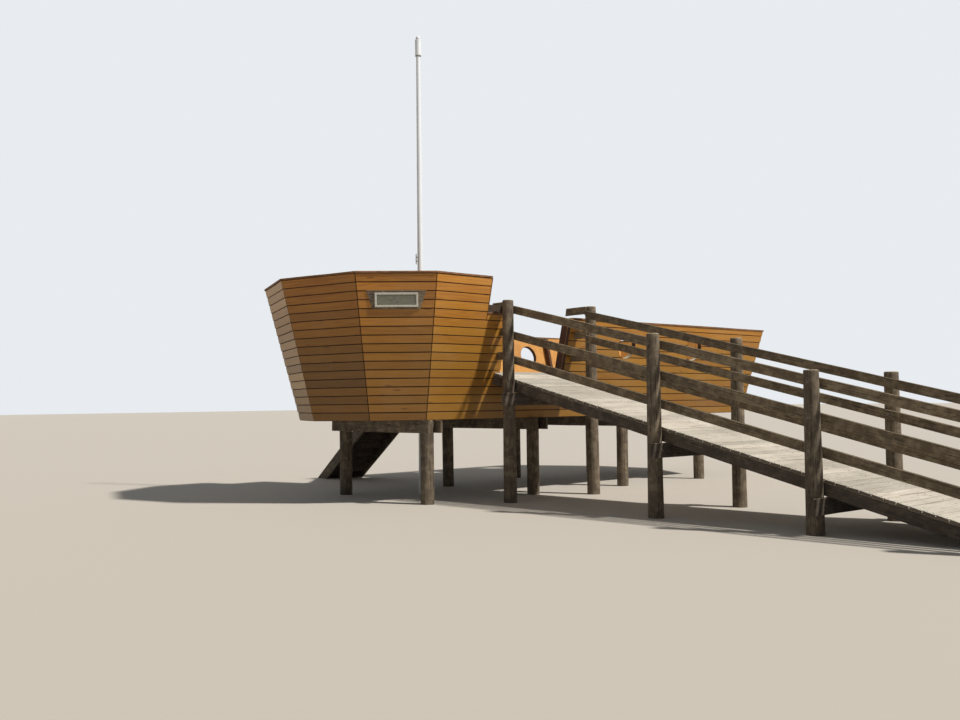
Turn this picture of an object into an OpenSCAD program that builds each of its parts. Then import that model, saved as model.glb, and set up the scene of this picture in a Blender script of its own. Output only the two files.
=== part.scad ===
// Ship-shaped timber beach platform on round posts, with a raised castle end, a long access
// ramp through the near side, a stair on the far side and a tapered mast.
// X runs along the ship from the castle to the bow, -Y is the ramp side, Z is up, millimetres.
// The origin is the centre of the mast's foot, on the ground.

/* [Hull] */
// Height of the hull's bottom edge above the ground
hull_bottom_z = 1330; // [1100:10:1600]
// Height of the waist and bow rim, top of the cap
hull_rim_z = 3060; // [2900:10:3200]
// Height of the castle rim, top of the cap
castle_rim_z = 3630; // [3500:10:4000]
// Outside width of the hull along its bottom edge
bottom_beam = 3224; // [3000:10:3600]
// Lean of every hull wall out from the vertical, degrees
flare = 14; // [8:0.5:18]
// Distance from the mast back to the castle's break
break_back = 170; // [130:5:300]
// Bottom length of the castle's straight side
castle_side = 932; // [800:10:1200]
// Bottom length of the castle's quarter face
castle_quarter = 882; // [700:10:1000]
// Turn between neighbouring castle faces, degrees
castle_turn = 36; // [32:1:40]
// Bottom length of the hull side from the break to the bow corner
hull_side = 7411; // [7300:10:8200]
// Turn of each bow face from the side wall, degrees
bow_turn = 60; // [50:1:70]
// Thickness of the hull walls, cladding and lining together
wall_t = 60; // [45:1:80]

/* [Rim caps and studs] */
// Thickness of the cap boards
cap_t = 30; // [20:1:45]
// How far a cap board stands out past each face of its wall
cap_over = 18; // [5:1:30]
// Gap between neighbouring cap boards at a corner
cap_gap = 2; // [1:1:6]
// Width of a wall stud along the wall
stud_w = 70; // [50:1:90]
// Depth of a wall stud, in from the lining
stud_d = 120; // [80:5:150]
// Depth of the studs beside the openings, in from the lining
jamb_d = 160; // [120:5:200]
// Height of the rail that lies on the short waist wall
waist_rail_h = 125; // [90:5:130]

/* [Portholes] */
// Diameter of the portholes
porthole_d = 460; // [300:10:560]
// Height of the porthole centres above the ground
porthole_z = 2600; // [2500:10:2700]
// Distance between neighbouring portholes
porthole_pitch = 1970; // [1800:10:2100]
// Distance from the mast to the first near porthole
porthole_near_x = 3290; // [3150:10:3400]
// Distance from the mast to the first far porthole
porthole_far_x = 2360; // [2300:10:2450]
// Distance from a far porthole to the wall stud after it
far_stud_after = 552; // [400:2:800]

/* [Decks] */
// Height of the main deck
deck_z = 2110; // [2000:10:2200]
// Thickness of the deck boards
deck_t = 45; // [30:1:60]
// Width of a deck board, before it is fitted to a whole number of boards
board_w = 140; // [95:1:190]
// Gap between deck boards
board_gap = 8; // [4:1:15]
// Height of the castle deck
castle_deck_z = 2660; // [2560:10:2760]
// Depth of the deck joists
joist_h = 145; // [100:5:180]
// Width of the deck joists
joist_w = 50; // [40:1:75]
// Joists to each bay between bents
joists_per_bay = 4; // [3:1:6]

/* [Posts and cross-beams] */
// Diameter of the hull's round posts
post_d = 215; // [180:5:240]
// Distance between the bents along the ship
bent_pitch = 2300; // [2200:10:2320]
// Distance from the mast back to the first bent
first_bent_back = 1020; // [950:10:1080]
// Distance of the near post row from the centre line
near_row = 1520; // [1400:10:1540]
// Distance of the far posts from the centre line under the castle and the waist
far_row_castle = 900; // [700:10:1100]
// Distance of the far posts from the centre line under the bow half
far_row_bow = 1500; // [1300:10:1540]
// Depth of a cross-beam plank
beam_h = 200; // [150:5:240]
// Thickness of a cross-beam plank
beam_t = 50; // [40:1:70]
// How far a cross-beam runs on past its last post
beam_past = 230; // [170:5:300]
// Depth of the floor bearers that lie on the cross-beams
bearer_h = 120; // [80:5:160]
// Depth of the flats cut in the round posts, where planks, rails and stringers seat
seat = 10; // [4:1:15]

/* [Ramp] */
// Slope of the ramp, degrees
ramp_slope = 13.64; // [12:0.01:15]
// Near edge of the ramp opening, forward of the mast
opening_x0 = 205; // [160:5:260]
// Clear width of the ramp opening
opening_w = 1550; // [1400:10:1700]
// Width of the ramp over its stringers
ramp_w = 1760; // [1700:10:1850]
// Height of the ramp deck at its foot
ramp_foot_z = 60; // [55:1:120]
// Diameter of the ramp's round posts at the ground
ramp_post_d = 220; // [200:5:240]
// Diameter of the ramp's round posts at their tops
ramp_post_top_d = 180; // [150:5:195]
// Distance from the hull's rim line out to the first pair of posts
first_post_out = 220; // [200:5:300]
// Distance from the first to the second pair of posts
first_bay = 2990; // [2700:10:3000]
// Distance between the other pairs of posts
other_bay = 2400; // [2200:10:2400]
// Height of the post tops above the ramp deck
ramp_post_up = 1265; // [1250:5:1400]
// Bevel round the tops of the ramp's posts
post_bevel = 12; // [5:1:25]
// Depth of the ramp's stringers
stringer_h = 150; // [120:5:200]
// Thickness of the ramp's stringers
stringer_t = 60; // [45:1:80]
// How far the ramp's cross-beams stand out past the posts
ramp_beam_past = 130; // [60:5:180]

/* [Rails] */
// Thickness of the rails
rail_t = 45; // [30:1:60]
// Depth of the rails, measured upright
rail_h = 130; // [90:5:150]
// Height of the top rail's upper edge above the ramp deck
rail_top = 1185; // [1140:5:1210]
// Height of the middle rail's upper edge above the ramp deck
rail_mid = 765; // [730:5:820]
// Height of the low rail's upper edge above the ramp deck
rail_low = 370; // [335:5:430]
// How much higher the level rail ends lie than the sloping rails
level_lift = 75; // [0:1:100]
// How far the top rails run in over the hull's rim
rail_over = 300; // [100:10:400]

/* [Stair] */
// Near edge of the stair, forward of the mast
stair_x0 = 630; // [500:10:700]
// Width of the stair over its stringers
stair_w = 950; // [800:10:1000]
// Side room between the stair and the opening's jambs
stair_room = 20; // [5:1:40]
// Slope of the stair, degrees
stair_slope = 36; // [34:0.5:42]
// Number of risers from the ground to the deck
risers = 12; // [11:1:14]
// Thickness of the stair's stringers
stair_stringer_t = 50; // [40:1:60]
// Depth of the stair's stringers, square to the slope
stair_stringer_h = 220; // [200:5:260]
// Thickness of the treads
tread_t = 40; // [30:1:50]
// Thickness of the risers that close the stair
riser_t = 24; // [18:1:35]

/* [Sign] */
// Width of the sign's backing board along its top
backing_top = 920; // [700:10:1000]
// Width of the sign's backing board along its bottom
backing_bottom = 740; // [700:10:900]
// Height of the sign's backing board
backing_h = 285; // [240:5:320]
// Thickness of the sign's backing board
backing_t = 25; // [15:1:40]
// Drop from the castle rim to the top of the backing board, along the wall
backing_drop = 300; // [200:10:400]
// Width of the sign board
sign_w = 665; // [500:5:690]
// Height of the sign board
sign_h = 218; // [150:2:230]
// Thickness of the sign board
sign_t = 20; // [10:1:30]

/* [Mast] */
// Height of the mast's sleeve top above the ground
mast_h = 8180; // [7500:10:9000]
// Diameter of the mast at the ground
mast_foot_d = 120; // [100:1:140]
// Diameter of the mast at its top
mast_top_d = 72; // [60:1:90]
// Diameter of the sleeve at the mast's top
sleeve_d = 110; // [95:1:130]
// Length of the sleeve at the mast's top
sleeve_len = 295; // [200:5:400]
// Diameter of the ball on the mast
ball_d = 84; // [60:1:90]
// Height of the cleat's middle on the mast
cleat_z = 4180; // [3900:10:4400]
// Length of the cleat over its horns
cleat_len = 200; // [120:5:260]
// Thickness of the cleat's horns
cleat_t = 20; // [14:1:30]
// How far the cleat's horns stand off the mast
cleat_off = 28; // [20:1:40]
// Room round the mast where it passes the deck
mast_room = 8; // [3:1:15]
// Height of the clamp that holds the mast to the castle's break
clamp_h = 80; // [50:5:120]
// Room between the mast and its clamp
clamp_room = 2; // [1:1:5]

/* [Hidden] */

golden = "#c88a3c";
lining_colour = "#d79a4a";
grey_wood = "#6b5f52";
dark_wood = "#4a4038";
deck_colour = "#cdbfa9";
mast_colour = "#eceae4";

// How far a cut runs on past the face that it opens
past = 1;

half_bottom = bottom_beam / 2;
wall_in = wall_t / cos(flare);
break_x = -break_back;
opening_x1 = opening_x0 + opening_w;
bow_x = break_x + hull_side;
wall_top = hull_rim_z - cap_t;
castle_wall_top = castle_rim_z - cap_t;
near_porthole_x = [for (k = [0:1]) porthole_near_x + k * porthole_pitch];
far_porthole_x = [for (k = [0:2]) porthole_far_x + k * porthole_pitch];
stair_open_x0 = stair_x0 - stair_room;
stair_open_x1 = stair_x0 + stair_w + stair_room;

// Outward lean of a wall at height z, and the hull's half width there
function lean(z) = (z - hull_bottom_z) * tan(flare);
function half_at(z) = half_bottom + lean(z);

// Outward normal in plan of a near wall that is turned by a towards the castle end
function normal(a) = [-sin(a), -cos(a)];
// Normal of the matching wall on the far side
function far_normal(a) = [-sin(a), cos(a)];
// How a corner between two walls moves when both walls move out by one
function mitre(n1, n2) = (n1 + n2) / (1 + n1 * n2);

// Corners of the hull's bottom outline, each with the way it moves: [point, mitre]
quarter_front = [break_x - castle_side - castle_quarter * cos(castle_turn),
                 -half_bottom + castle_quarter * sin(castle_turn)];
c_tip = [[quarter_front[0] + quarter_front[1] / tan(2 * castle_turn), 0],
         mitre(normal(2 * castle_turn), far_normal(2 * castle_turn))];
c_front = [quarter_front, mitre(normal(2 * castle_turn), normal(castle_turn))];
c_quarter = [[break_x - castle_side, -half_bottom], mitre(normal(castle_turn), normal(0))];
c_bow = [[bow_x, -half_bottom], mitre(normal(0), normal(-bow_turn))];
c_stem = [[bow_x + half_bottom / tan(bow_turn), 0],
          mitre(normal(-bow_turn), far_normal(-bow_turn))];
// A square cut across the near side at x
function side_cut(x) = [[x, -half_bottom], [0, -1]];
// A corner moved out by d, and its mirror on the far side
function moved(c, d) = c[0] + d * c[1];
function mirrored(c) = [[c[0][0], -c[0][1]], [c[1][0], -c[1][1]]];

outline = [c_tip, c_front, c_quarter, c_bow, c_stem,
           mirrored(c_bow), mirrored(c_quarter), mirrored(c_front)];

// Bents and ramp posts
bents = [for (k = [0:3]) k * bent_pitch - first_bent_back];
far_rows = [far_row_castle, far_row_castle, far_row_bow, far_row_bow];
plank_off = (post_d + beam_t) / 2 - seat;
joist_pitch = bent_pitch / joists_per_bay;
deck_under = deck_z - deck_t;
joist_z = deck_under - joist_h;
castle_joist_z = castle_deck_z - deck_t - joist_h;
floor_top = hull_bottom_z + bearer_h;

ramp_tan = tan(ramp_slope);
ramp_top_y = wall_in - half_at(deck_z);
function ramp_z(y) = deck_z + (y - ramp_top_y) * ramp_tan;
ramp_end_y = ramp_top_y - (deck_z - ramp_foot_z) / ramp_tan;
ramp_deck_h = deck_t / cos(ramp_slope);
first_post_y = -half_at(hull_rim_z) - first_post_out;
ramp_post_y = [for (k = [0:3]) first_post_y - (k > 0 ? first_bay : 0) - max(0, k - 1) * other_bay];
sill_top = ramp_z(-half_at(deck_z)) - ramp_deck_h;
ramp_x0 = opening_x0 - rail_t;
ramp_x1 = ramp_x0 + ramp_w;
near_posts_x = ramp_x0 - ramp_post_top_d / 2 + seat;
far_posts_x = ramp_x1 + ramp_post_top_d / 2 - seat;
ramp_plank_off = (ramp_post_top_d + beam_t) / 2;
rail_levels = [rail_top, rail_mid, rail_low];

stair_tan = tan(stair_slope);
stair_top_y = half_at(deck_z);
rise = deck_z / risers;
going = rise / stair_tan;
stair_drop = stair_stringer_h / cos(stair_slope);

function mast_d(z) = mast_foot_d + (mast_top_d - mast_foot_d) * z / mast_h;

// A slab between two corners of the outline, from z0 to z1, leaning with the hull.
// out and inn are how far its faces lie inside the hull's outer face.
module slab(a, b, z0, z1, out = 0, inn = wall_in) {
    p = [for (z = [z0, z1]) each [for (d = [lean(z) - out, lean(z) - inn])
            each [for (c = [a, b]) [moved(c, d)[0], moved(c, d)[1], z]]]];
    polyhedron(p, [[0, 1, 3, 2], [4, 6, 7, 5], [0, 4, 5, 1], [2, 3, 7, 6], [0, 2, 6, 4], [1, 5, 7, 3]]);
}

// The space inside the walls from z0 to z1, as one solid
module inside(z0, z1) {
    n = len(outline);
    p = [for (z = [z0, z1]) each [for (c = outline)
            [moved(c, lean(z) - wall_in)[0], moved(c, lean(z) - wall_in)[1], z]]];
    polyhedron(p, concat([[for (i = [0:n - 1]) i]], [[for (i = [n - 1:-1:0]) n + i]],
                         [for (i = [0:n - 1]) [i, n + i, n + (i + 1) % n, (i + 1) % n]]));
}

// The inside of the hull between two cuts across it
module inside_part(x0, x1, z0, z1) {
    intersection() {
        inside(z0, z1);
        translate([x0, -2 * bottom_beam, z0]) cube([x1 - x0, 4 * bottom_beam, z1 - z0]);
    }
}

// A flat board on top of a wall, with its ends cut on the corners' mitres
module cap(a, b, z) {
    ab = (b[0] - a[0]) / norm(b[0] - a[0]);
    quad = [for (e = [[a, cap_gap / 2], [b, -cap_gap / 2]]) each
            [for (d = [lean(z) + cap_over, lean(z) - wall_in - cap_over]) moved(e[0], d) + e[1] * ab]];
    translate([0, 0, z - cap_t])
        linear_extrude(cap_t) polygon([quad[0], quad[1], quad[3], quad[2]]);
}

// A profile in Y and Z, extruded along X
module along_x(x0, x1, profile) {
    translate([x0, 0, 0]) rotate([90, 0, 90]) linear_extrude(x1 - x0) polygon(profile);
}

// Places children on the outer face of a near wall: outward is -Y, up the wall is Z
module on_wall(point, z, turn) {
    translate([point[0], point[1], z]) rotate([0, 0, -turn]) rotate([flare, 0, 0]) children();
}

module porthole(x) {
    on_wall([x, -half_at(porthole_z)], porthole_z, 0)
        rotate([90, 0, 0]) cylinder(h = 3 * wall_t, d = porthole_d, center = true, $fn = 64);
}

module far_side() { mirror([0, 1, 0]) children(); }

module castle_front_near() { color(golden) slab(c_tip, c_front, hull_bottom_z, castle_wall_top); }
module castle_front_far() { color(golden) far_side() slab(c_tip, c_front, hull_bottom_z, castle_wall_top); }
module castle_quarter_near() { color(golden) slab(c_front, c_quarter, hull_bottom_z, castle_wall_top); }
module castle_quarter_far() { color(golden) far_side() slab(c_front, c_quarter, hull_bottom_z, castle_wall_top); }
module castle_side_near() { color(golden) slab(c_quarter, side_cut(break_x), hull_bottom_z, castle_wall_top); }
module castle_side_far() { color(golden) far_side() slab(c_quarter, side_cut(break_x), hull_bottom_z, castle_wall_top); }

module castle_cap_half() {
    cap(c_tip, c_front, castle_rim_z);
    cap(c_front, c_quarter, castle_rim_z);
    cap(c_quarter, side_cut(break_x), castle_rim_z);
}

module castle_cap() {
    color(golden) {
        castle_cap_half();
        far_side() castle_cap_half();
    }
}

// A stud on the inner face of a near wall, centred between two corners
module mid_stud(a, b, z0, z1) {
    run = (b[0] - a[0]) / norm(b[0] - a[0]);
    middle = (a[0] + b[0]) / 2;
    away = [run[1], -run[0]];
    slab([middle - run * stud_w / 2, away], [middle + run * stud_w / 2, away],
         z0, z1, wall_in, wall_in + stud_d);
}

module castle_studs_half() {
    mid_stud(c_tip, c_front, castle_deck_z, castle_wall_top);
    mid_stud(c_front, c_quarter, castle_deck_z, castle_wall_top);
    side_stud(break_x - stud_w / 2, castle_deck_z, castle_wall_top);
}

module castle_studs() {
    color(lining_colour) {
        castle_studs_half();
        far_side() castle_studs_half();
    }
}

// Boards along the ship that fill the hull's inside between two cuts across it. Their
// number is even, so that a gap between two of them runs along the centre line.
module floor_boards(x0, x1, top_z) {
    half = half_at(top_z) - wall_in;
    pairs = round(half / (board_w + board_gap));
    pitch = half / pairs;
    for (k = [-pairs:pairs - 1])
        intersection() {
            inside(top_z - deck_t, top_z);
            translate([x0, k * pitch + board_gap / 2, top_z - deck_t])
                cube([x1 - x0, pitch - board_gap, deck_t]);
        }
}

module castle_deck() {
    color(deck_colour) floor_boards(c_tip[0][0] - bottom_beam, break_x, castle_deck_z);
}

module castle_joists() {
    color(dark_wood)
        for (k = [1:3])
            inside_part(break_x - wall_t - k * joist_pitch, break_x - wall_t - k * joist_pitch + joist_w,
                        castle_joist_z, castle_joist_z + joist_h);
}

module castle_bulkhead() {
    color(lining_colour) inside_part(break_x - wall_t, break_x, deck_z, castle_deck_z - deck_t);
}

module waist_wall_near() { color(golden) slab(side_cut(break_x), side_cut(opening_x0), hull_bottom_z, wall_top); }
module waist_wall_far() {
    color(golden) far_side() slab(side_cut(break_x), side_cut(stair_open_x0), hull_bottom_z, wall_top);
}

module sill_wall_near() {
    color(golden) slab(side_cut(opening_x0), side_cut(opening_x1), hull_bottom_z, sill_top);
}

module sill_wall_far() {
    color(golden) far_side() slab(side_cut(stair_open_x0), side_cut(stair_open_x1), hull_bottom_z, deck_z);
}

module side_wall_near() {
    color(golden) difference() {
        slab(side_cut(opening_x1), c_bow, hull_bottom_z, wall_top);
        for (x = near_porthole_x) porthole(x);
    }
}

module side_wall_far() {
    color(golden) far_side() difference() {
        slab(side_cut(stair_open_x1), c_bow, hull_bottom_z, wall_top);
        for (x = far_porthole_x) porthole(x);
    }
}

module bow_wall_near() { color(golden) slab(c_bow, c_stem, hull_bottom_z, wall_top); }
module bow_wall_far() { color(golden) far_side() slab(c_bow, c_stem, hull_bottom_z, wall_top); }

module rim_cap() {
    color(golden) {
        cap(side_cut(opening_x1), c_bow, hull_rim_z);
        cap(c_bow, c_stem, hull_rim_z);
        cap(side_cut(break_x), side_cut(opening_x0), hull_rim_z);
        far_side() {
            cap(side_cut(stair_open_x1), c_bow, hull_rim_z);
            cap(c_bow, c_stem, hull_rim_z);
            cap(side_cut(break_x), side_cut(stair_open_x0), hull_rim_z);
        }
    }
}

// A stud on the inner face of the near side, centred at x
module side_stud(x, z0, z1, deep = stud_d) {
    slab(side_cut(x - stud_w / 2), side_cut(x + stud_w / 2), z0, z1, wall_in, wall_in + deep);
}

// Near studs stand midway between portholes, far ones at a set distance after each
module wall_studs() {
    color(lining_colour) {
        for (k = [0:2]) side_stud(porthole_near_x + (k - 0.5) * porthole_pitch, deck_z, wall_top);
        far_side()
            for (x = far_porthole_x) side_stud(x + far_stud_after, deck_z, wall_top);
    }
}

module jamb_studs() {
    color(dark_wood) {
        for (x = [opening_x0 - stud_w / 2, opening_x1 + stud_w / 2]) side_stud(x, deck_z, wall_top, jamb_d);
        far_side()
            for (x = [stair_open_x0 - stud_w / 2, stair_open_x1 + stud_w / 2])
                side_stud(x, deck_z, wall_top, jamb_d);
    }
}

module waist_rail() {
    y = -half_at(hull_rim_z);
    color(grey_wood)
        translate([break_x, y, hull_rim_z]) cube([ramp_x0 - break_x, rail_t, waist_rail_h]);
}

module main_deck() {
    color(deck_colour) difference() {
        floor_boards(break_x - wall_t, c_stem[0][0] + bottom_beam, deck_z);
        translate([0, 0, deck_under - past])
            cylinder(h = deck_t + 2 * past, d = mast_d(deck_z) + 2 * mast_room, $fn = 48);
    }
}

// Joists cross the ship, so that one lies over the first plank of every bent
module deck_joists() {
    color(dark_wood)
        for (k = [1:4 * joists_per_bay]) {
            x = bents[0] - plank_off + k * joist_pitch;
            if (x - joist_w / 2 > break_x && x < bow_x && abs(x) > joist_w)
                inside_part(x - joist_w / 2, x + joist_w / 2, joist_z, deck_under);
        }
}

module deck_props() {
    color(dark_wood)
        for (k = [1:3], y = [-far_row_castle, far_row_castle])
            translate([bents[k] - plank_off - beam_t / 2, y - beam_t, floor_top])
                cube([beam_t, 2 * beam_t, joist_z - floor_top]);
}

module floor_bearers() {
    color(dark_wood)
        for (x = bents, s = [-1, 1])
            inside_part(x + s * plank_off - beam_t / 2, x + s * plank_off + beam_t / 2, hull_bottom_z, floor_top);
}

// Each bent is two planks clamped to a near and a far post
module bent_planks(k) {
    for (s = [-1, 1])
        translate([bents[k] + s * plank_off - beam_t / 2, -near_row - beam_past, hull_bottom_z - beam_h])
            cube([beam_t, near_row + far_rows[k] + 2 * beam_past, beam_h]);
}

module cross_beams() { color(dark_wood) for (k = [0:3]) bent_planks(k); }

// The posts' sides are cut flat where the planks clasp them
module hull_posts() {
    color(grey_wood)
        for (k = [0:3])
            difference() {
                for (y = [-near_row, far_rows[k]])
                    translate([bents[k], y, 0]) cylinder(h = hull_bottom_z, d = post_d, $fn = 48);
                bent_planks(k);
            }
}

// A point on the ramp's slope at y, lowered by down
function ramp_edge(y, down) = [y, ramp_z(y) - down];

// The point where the ramp's slope, lowered by down, meets the outer face of the near wall
function wall_meet(down) =
    let (y = -(half_at(deck_z - down) - ramp_top_y * ramp_tan * tan(flare)) / (1 + ramp_tan * tan(flare)))
    ramp_edge(y, down);

// A board across the ramp that starts s down the slope and is w wide
module ramp_board(x0, x1, s, w) {
    translate([x0, ramp_top_y, deck_z]) rotate([ramp_slope, 0, 0]) translate([0, -s - w, -deck_t])
        cube([x1 - x0, w, deck_t]);
}

// One short board lies in the opening, and the rest, as wide as the ramp, run down to its foot
module ramp_deck() {
    sill = wall_in / cos(ramp_slope);
    run = (ramp_top_y - ramp_end_y) / cos(ramp_slope) - sill;
    boards = round(run / (board_w + board_gap));
    pitch = run / boards;
    color(deck_colour) {
        ramp_board(opening_x0, opening_x1, 0, sill);
        for (k = [0:boards - 1])
            ramp_board(ramp_x0, ramp_x1, sill + k * pitch + board_gap, pitch - board_gap);
    }
}

module ramp_stringer(x) {
    top = ramp_deck_h;
    low = ramp_deck_h + stringer_h / cos(ramp_slope);
    ground_y = ramp_top_y + (low - deck_z) / ramp_tan;
    along_x(x, x + stringer_t, [wall_meet(top), ramp_edge(ramp_end_y, top),
                                [ramp_end_y, 0], [ground_y, 0], wall_meet(low)]);
}

module ramp_stringers() {
    color(dark_wood)
        for (x = [ramp_x0, (ramp_x0 + ramp_x1 - stringer_t) / 2, ramp_x1 - stringer_t]) ramp_stringer(x);
}

// A plank on the downhill side of a pair of posts, under the stringers, where there is room
module ramp_plank(y) {
    low_y = y - ramp_plank_off - beam_t / 2;
    top = ramp_z(low_y) - ramp_deck_h - stringer_h / cos(ramp_slope);
    if (top > beam_h)
        translate([near_posts_x - ramp_post_d / 2 - ramp_beam_past, low_y, top - beam_h])
            cube([far_posts_x - near_posts_x + ramp_post_d + 2 * ramp_beam_past, beam_t, beam_h]);
}

module ramp_cross_beams() { color(dark_wood) for (y = ramp_post_y) ramp_plank(y); }

// Tapered, bevelled logs on one side of the ramp. A plank seats in them below the stringers,
// and above those one long flat from edge_x on takes the stringer, the deck boards and the rails.
module ramp_post_row(x, edge_x) {
    color(grey_wood)
        for (y = ramp_post_y) {
            top = ramp_z(y) + ramp_post_up;
            flat_low = ramp_z(y - ramp_post_d / 2) - ramp_deck_h - stringer_h / cos(ramp_slope);
            difference() {
                translate([x, y, 0]) {
                    cylinder(h = top - post_bevel, d1 = ramp_post_d, d2 = ramp_post_top_d, $fn = 48);
                    translate([0, 0, top - post_bevel])
                        cylinder(h = post_bevel, d1 = ramp_post_top_d, d2 = ramp_post_top_d - 2 * post_bevel, $fn = 48);
                }
                ramp_plank(y);
                translate([edge_x, y - ramp_post_d, flat_low])
                    cube([ramp_post_d, 2 * ramp_post_d, top + past - flat_low]);
            }
        }
}

module ramp_posts_near() { ramp_post_row(near_posts_x, ramp_x0); }
module ramp_posts_far() { ramp_post_row(far_posts_x, ramp_x1 - ramp_post_d); }

// Three sloping rails on the inner side of the posts, with level ends that meet the hull
module ramp_rails(x) {
    y0 = ramp_post_y[0];
    y1 = ramp_post_y[3] - ramp_post_d / 2;
    for (up = rail_levels) {
        z1 = ramp_z(y0) + up + level_lift;
        z0 = z1 - rail_h;
        inn = z0 > hull_rim_z ? rail_over : 0;
        along_x(x, x + rail_t, [ramp_edge(y0, -up), ramp_edge(y1, -up),
                                ramp_edge(y1, rail_h - up), ramp_edge(y0, rail_h - up)]);
        along_x(x, x + rail_t, [[y0, z0], [y0, z1], [inn - half_at(z1), z1], [inn - half_at(z0), z0]]);
    }
}

module ramp_rails_near() { color(grey_wood) ramp_rails(ramp_x0); }
module ramp_rails_far() { color(grey_wood) ramp_rails(ramp_x1 - rail_t); }

module stair_stringers() {
    foot_y = stair_top_y + deck_z / stair_tan;
    under_y = foot_y - stair_drop / stair_tan;
    low_z = deck_z - stair_drop;
    color(dark_wood)
        for (x = [stair_x0, stair_x0 + stair_w - stair_stringer_t])
            along_x(x, x + stair_stringer_t, [[stair_top_y, deck_z], [foot_y, 0], [under_y, 0],
                                              [half_at(low_z), low_z]]);
}

module stair_treads() {
    color(deck_colour)
        for (k = [1:risers - 1])
            translate([stair_x0 + stair_stringer_t, stair_top_y + (k - 1) * going + riser_t,
                       deck_z - k * rise - tread_t])
                cube([stair_w - 2 * stair_stringer_t, going - riser_t, tread_t]);
}

// Each riser stands between the front of one tread and the back of the next one down
module stair_risers() {
    color(dark_wood)
        for (k = [1:risers]) {
            low = max(0, deck_z - k * rise - tread_t);
            translate([stair_x0 + stair_stringer_t, stair_top_y + (k - 1) * going, low])
                cube([stair_w - 2 * stair_stringer_t, riser_t, deck_z - (k - 1) * rise - low]);
        }
}

// Places children at the middle of the near quarter face, down from the castle rim
module on_quarter(down) {
    a = moved(c_front, lean(castle_rim_z));
    b = moved(c_quarter, lean(castle_rim_z));
    on_wall((a + b) / 2, castle_rim_z, castle_turn) translate([0, 0, -down]) children();
}

module sign_backing() {
    color(grey_wood) on_quarter(backing_drop)
        rotate([90, 0, 0]) linear_extrude(backing_t)
            polygon([[-backing_top / 2, 0], [backing_top / 2, 0], [backing_bottom / 2, -backing_h],
                     [-backing_bottom / 2, -backing_h]]);
}

module sign_board() {
    color("#8f9a8e") on_quarter(backing_drop + backing_h / 2)
        translate([-sign_w / 2, -backing_t - sign_t, -sign_h / 2]) cube([sign_w, sign_t, sign_h]);
}

module mast() {
    color(mast_colour)
        cylinder(h = mast_h - sleeve_len, d1 = mast_foot_d, d2 = mast_d(mast_h - sleeve_len), $fn = 48);
}

// The sleeve on the mast's top, with the ball on it
module mast_head() {
    color(mast_colour) {
        translate([0, 0, mast_h - sleeve_len]) cylinder(h = sleeve_len, d = sleeve_d, $fn = 48);
        translate([0, 0, mast_h + ball_d / 3]) sphere(d = ball_d, $fn = 32);
    }
}

// A horned cleat on the mast's castle side: two feet on the mast and a bar across them
module mast_cleat() {
    face_x = -mast_d(cleat_z) / 2;
    color(grey_wood) difference() {
        translate([face_x - cleat_off, 0, cleat_z]) {
            translate([-cleat_t / 2, 0, -cleat_len / 2]) cylinder(h = cleat_len, d = cleat_t, $fn = 24);
            for (s = [-1, 1])
                translate([-cleat_t / 2, -cleat_t / 2, s * cleat_len / 6 - cleat_t / 2])
                    cube([cleat_off + cleat_t, cleat_t, cleat_t]);
        }
        cylinder(h = mast_h - sleeve_len, d1 = mast_foot_d, d2 = mast_d(mast_h - sleeve_len), $fn = 48);
    }
}

module mast_clamp() {
    bore = mast_d(castle_deck_z);
    color(grey_wood) difference() {
        translate([break_x, -bore, castle_deck_z - deck_t - clamp_h])
            cube([break_back + bore, 2 * bore, clamp_h]);
        translate([0, 0, castle_deck_z - deck_t - clamp_h - past])
            cylinder(h = clamp_h + 2 * past, d = bore + 2 * clamp_room, $fn = 48);
    }
}

castle_front_near();
castle_front_far();
castle_quarter_near();
castle_quarter_far();
castle_side_near();
castle_side_far();
castle_cap();
castle_studs();
castle_deck();
castle_joists();
castle_bulkhead();
waist_wall_near();
waist_wall_far();
sill_wall_near();
sill_wall_far();
side_wall_near();
side_wall_far();
bow_wall_near();
bow_wall_far();
rim_cap();
wall_studs();
jamb_studs();
waist_rail();
main_deck();
deck_joists();
deck_props();
floor_bearers();
cross_beams();
hull_posts();
ramp_deck();
ramp_stringers();
ramp_cross_beams();
ramp_posts_near();
ramp_posts_far();
ramp_rails_near();
ramp_rails_far();
stair_stringers();
stair_treads();
stair_risers();
sign_backing();
sign_board();
mast();
mast_head();
mast_cleat();
mast_clamp();
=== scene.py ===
# %% [markdown]
# A ship-shaped timber platform: flared, board-clad hull walls on round posts, a long railed ramp,
# a stair and a white mast. The sizes come from an imported frame, so this lesson starts by loading
# it. The looks may not outgrow it.

import math
from types import SimpleNamespace

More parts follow.
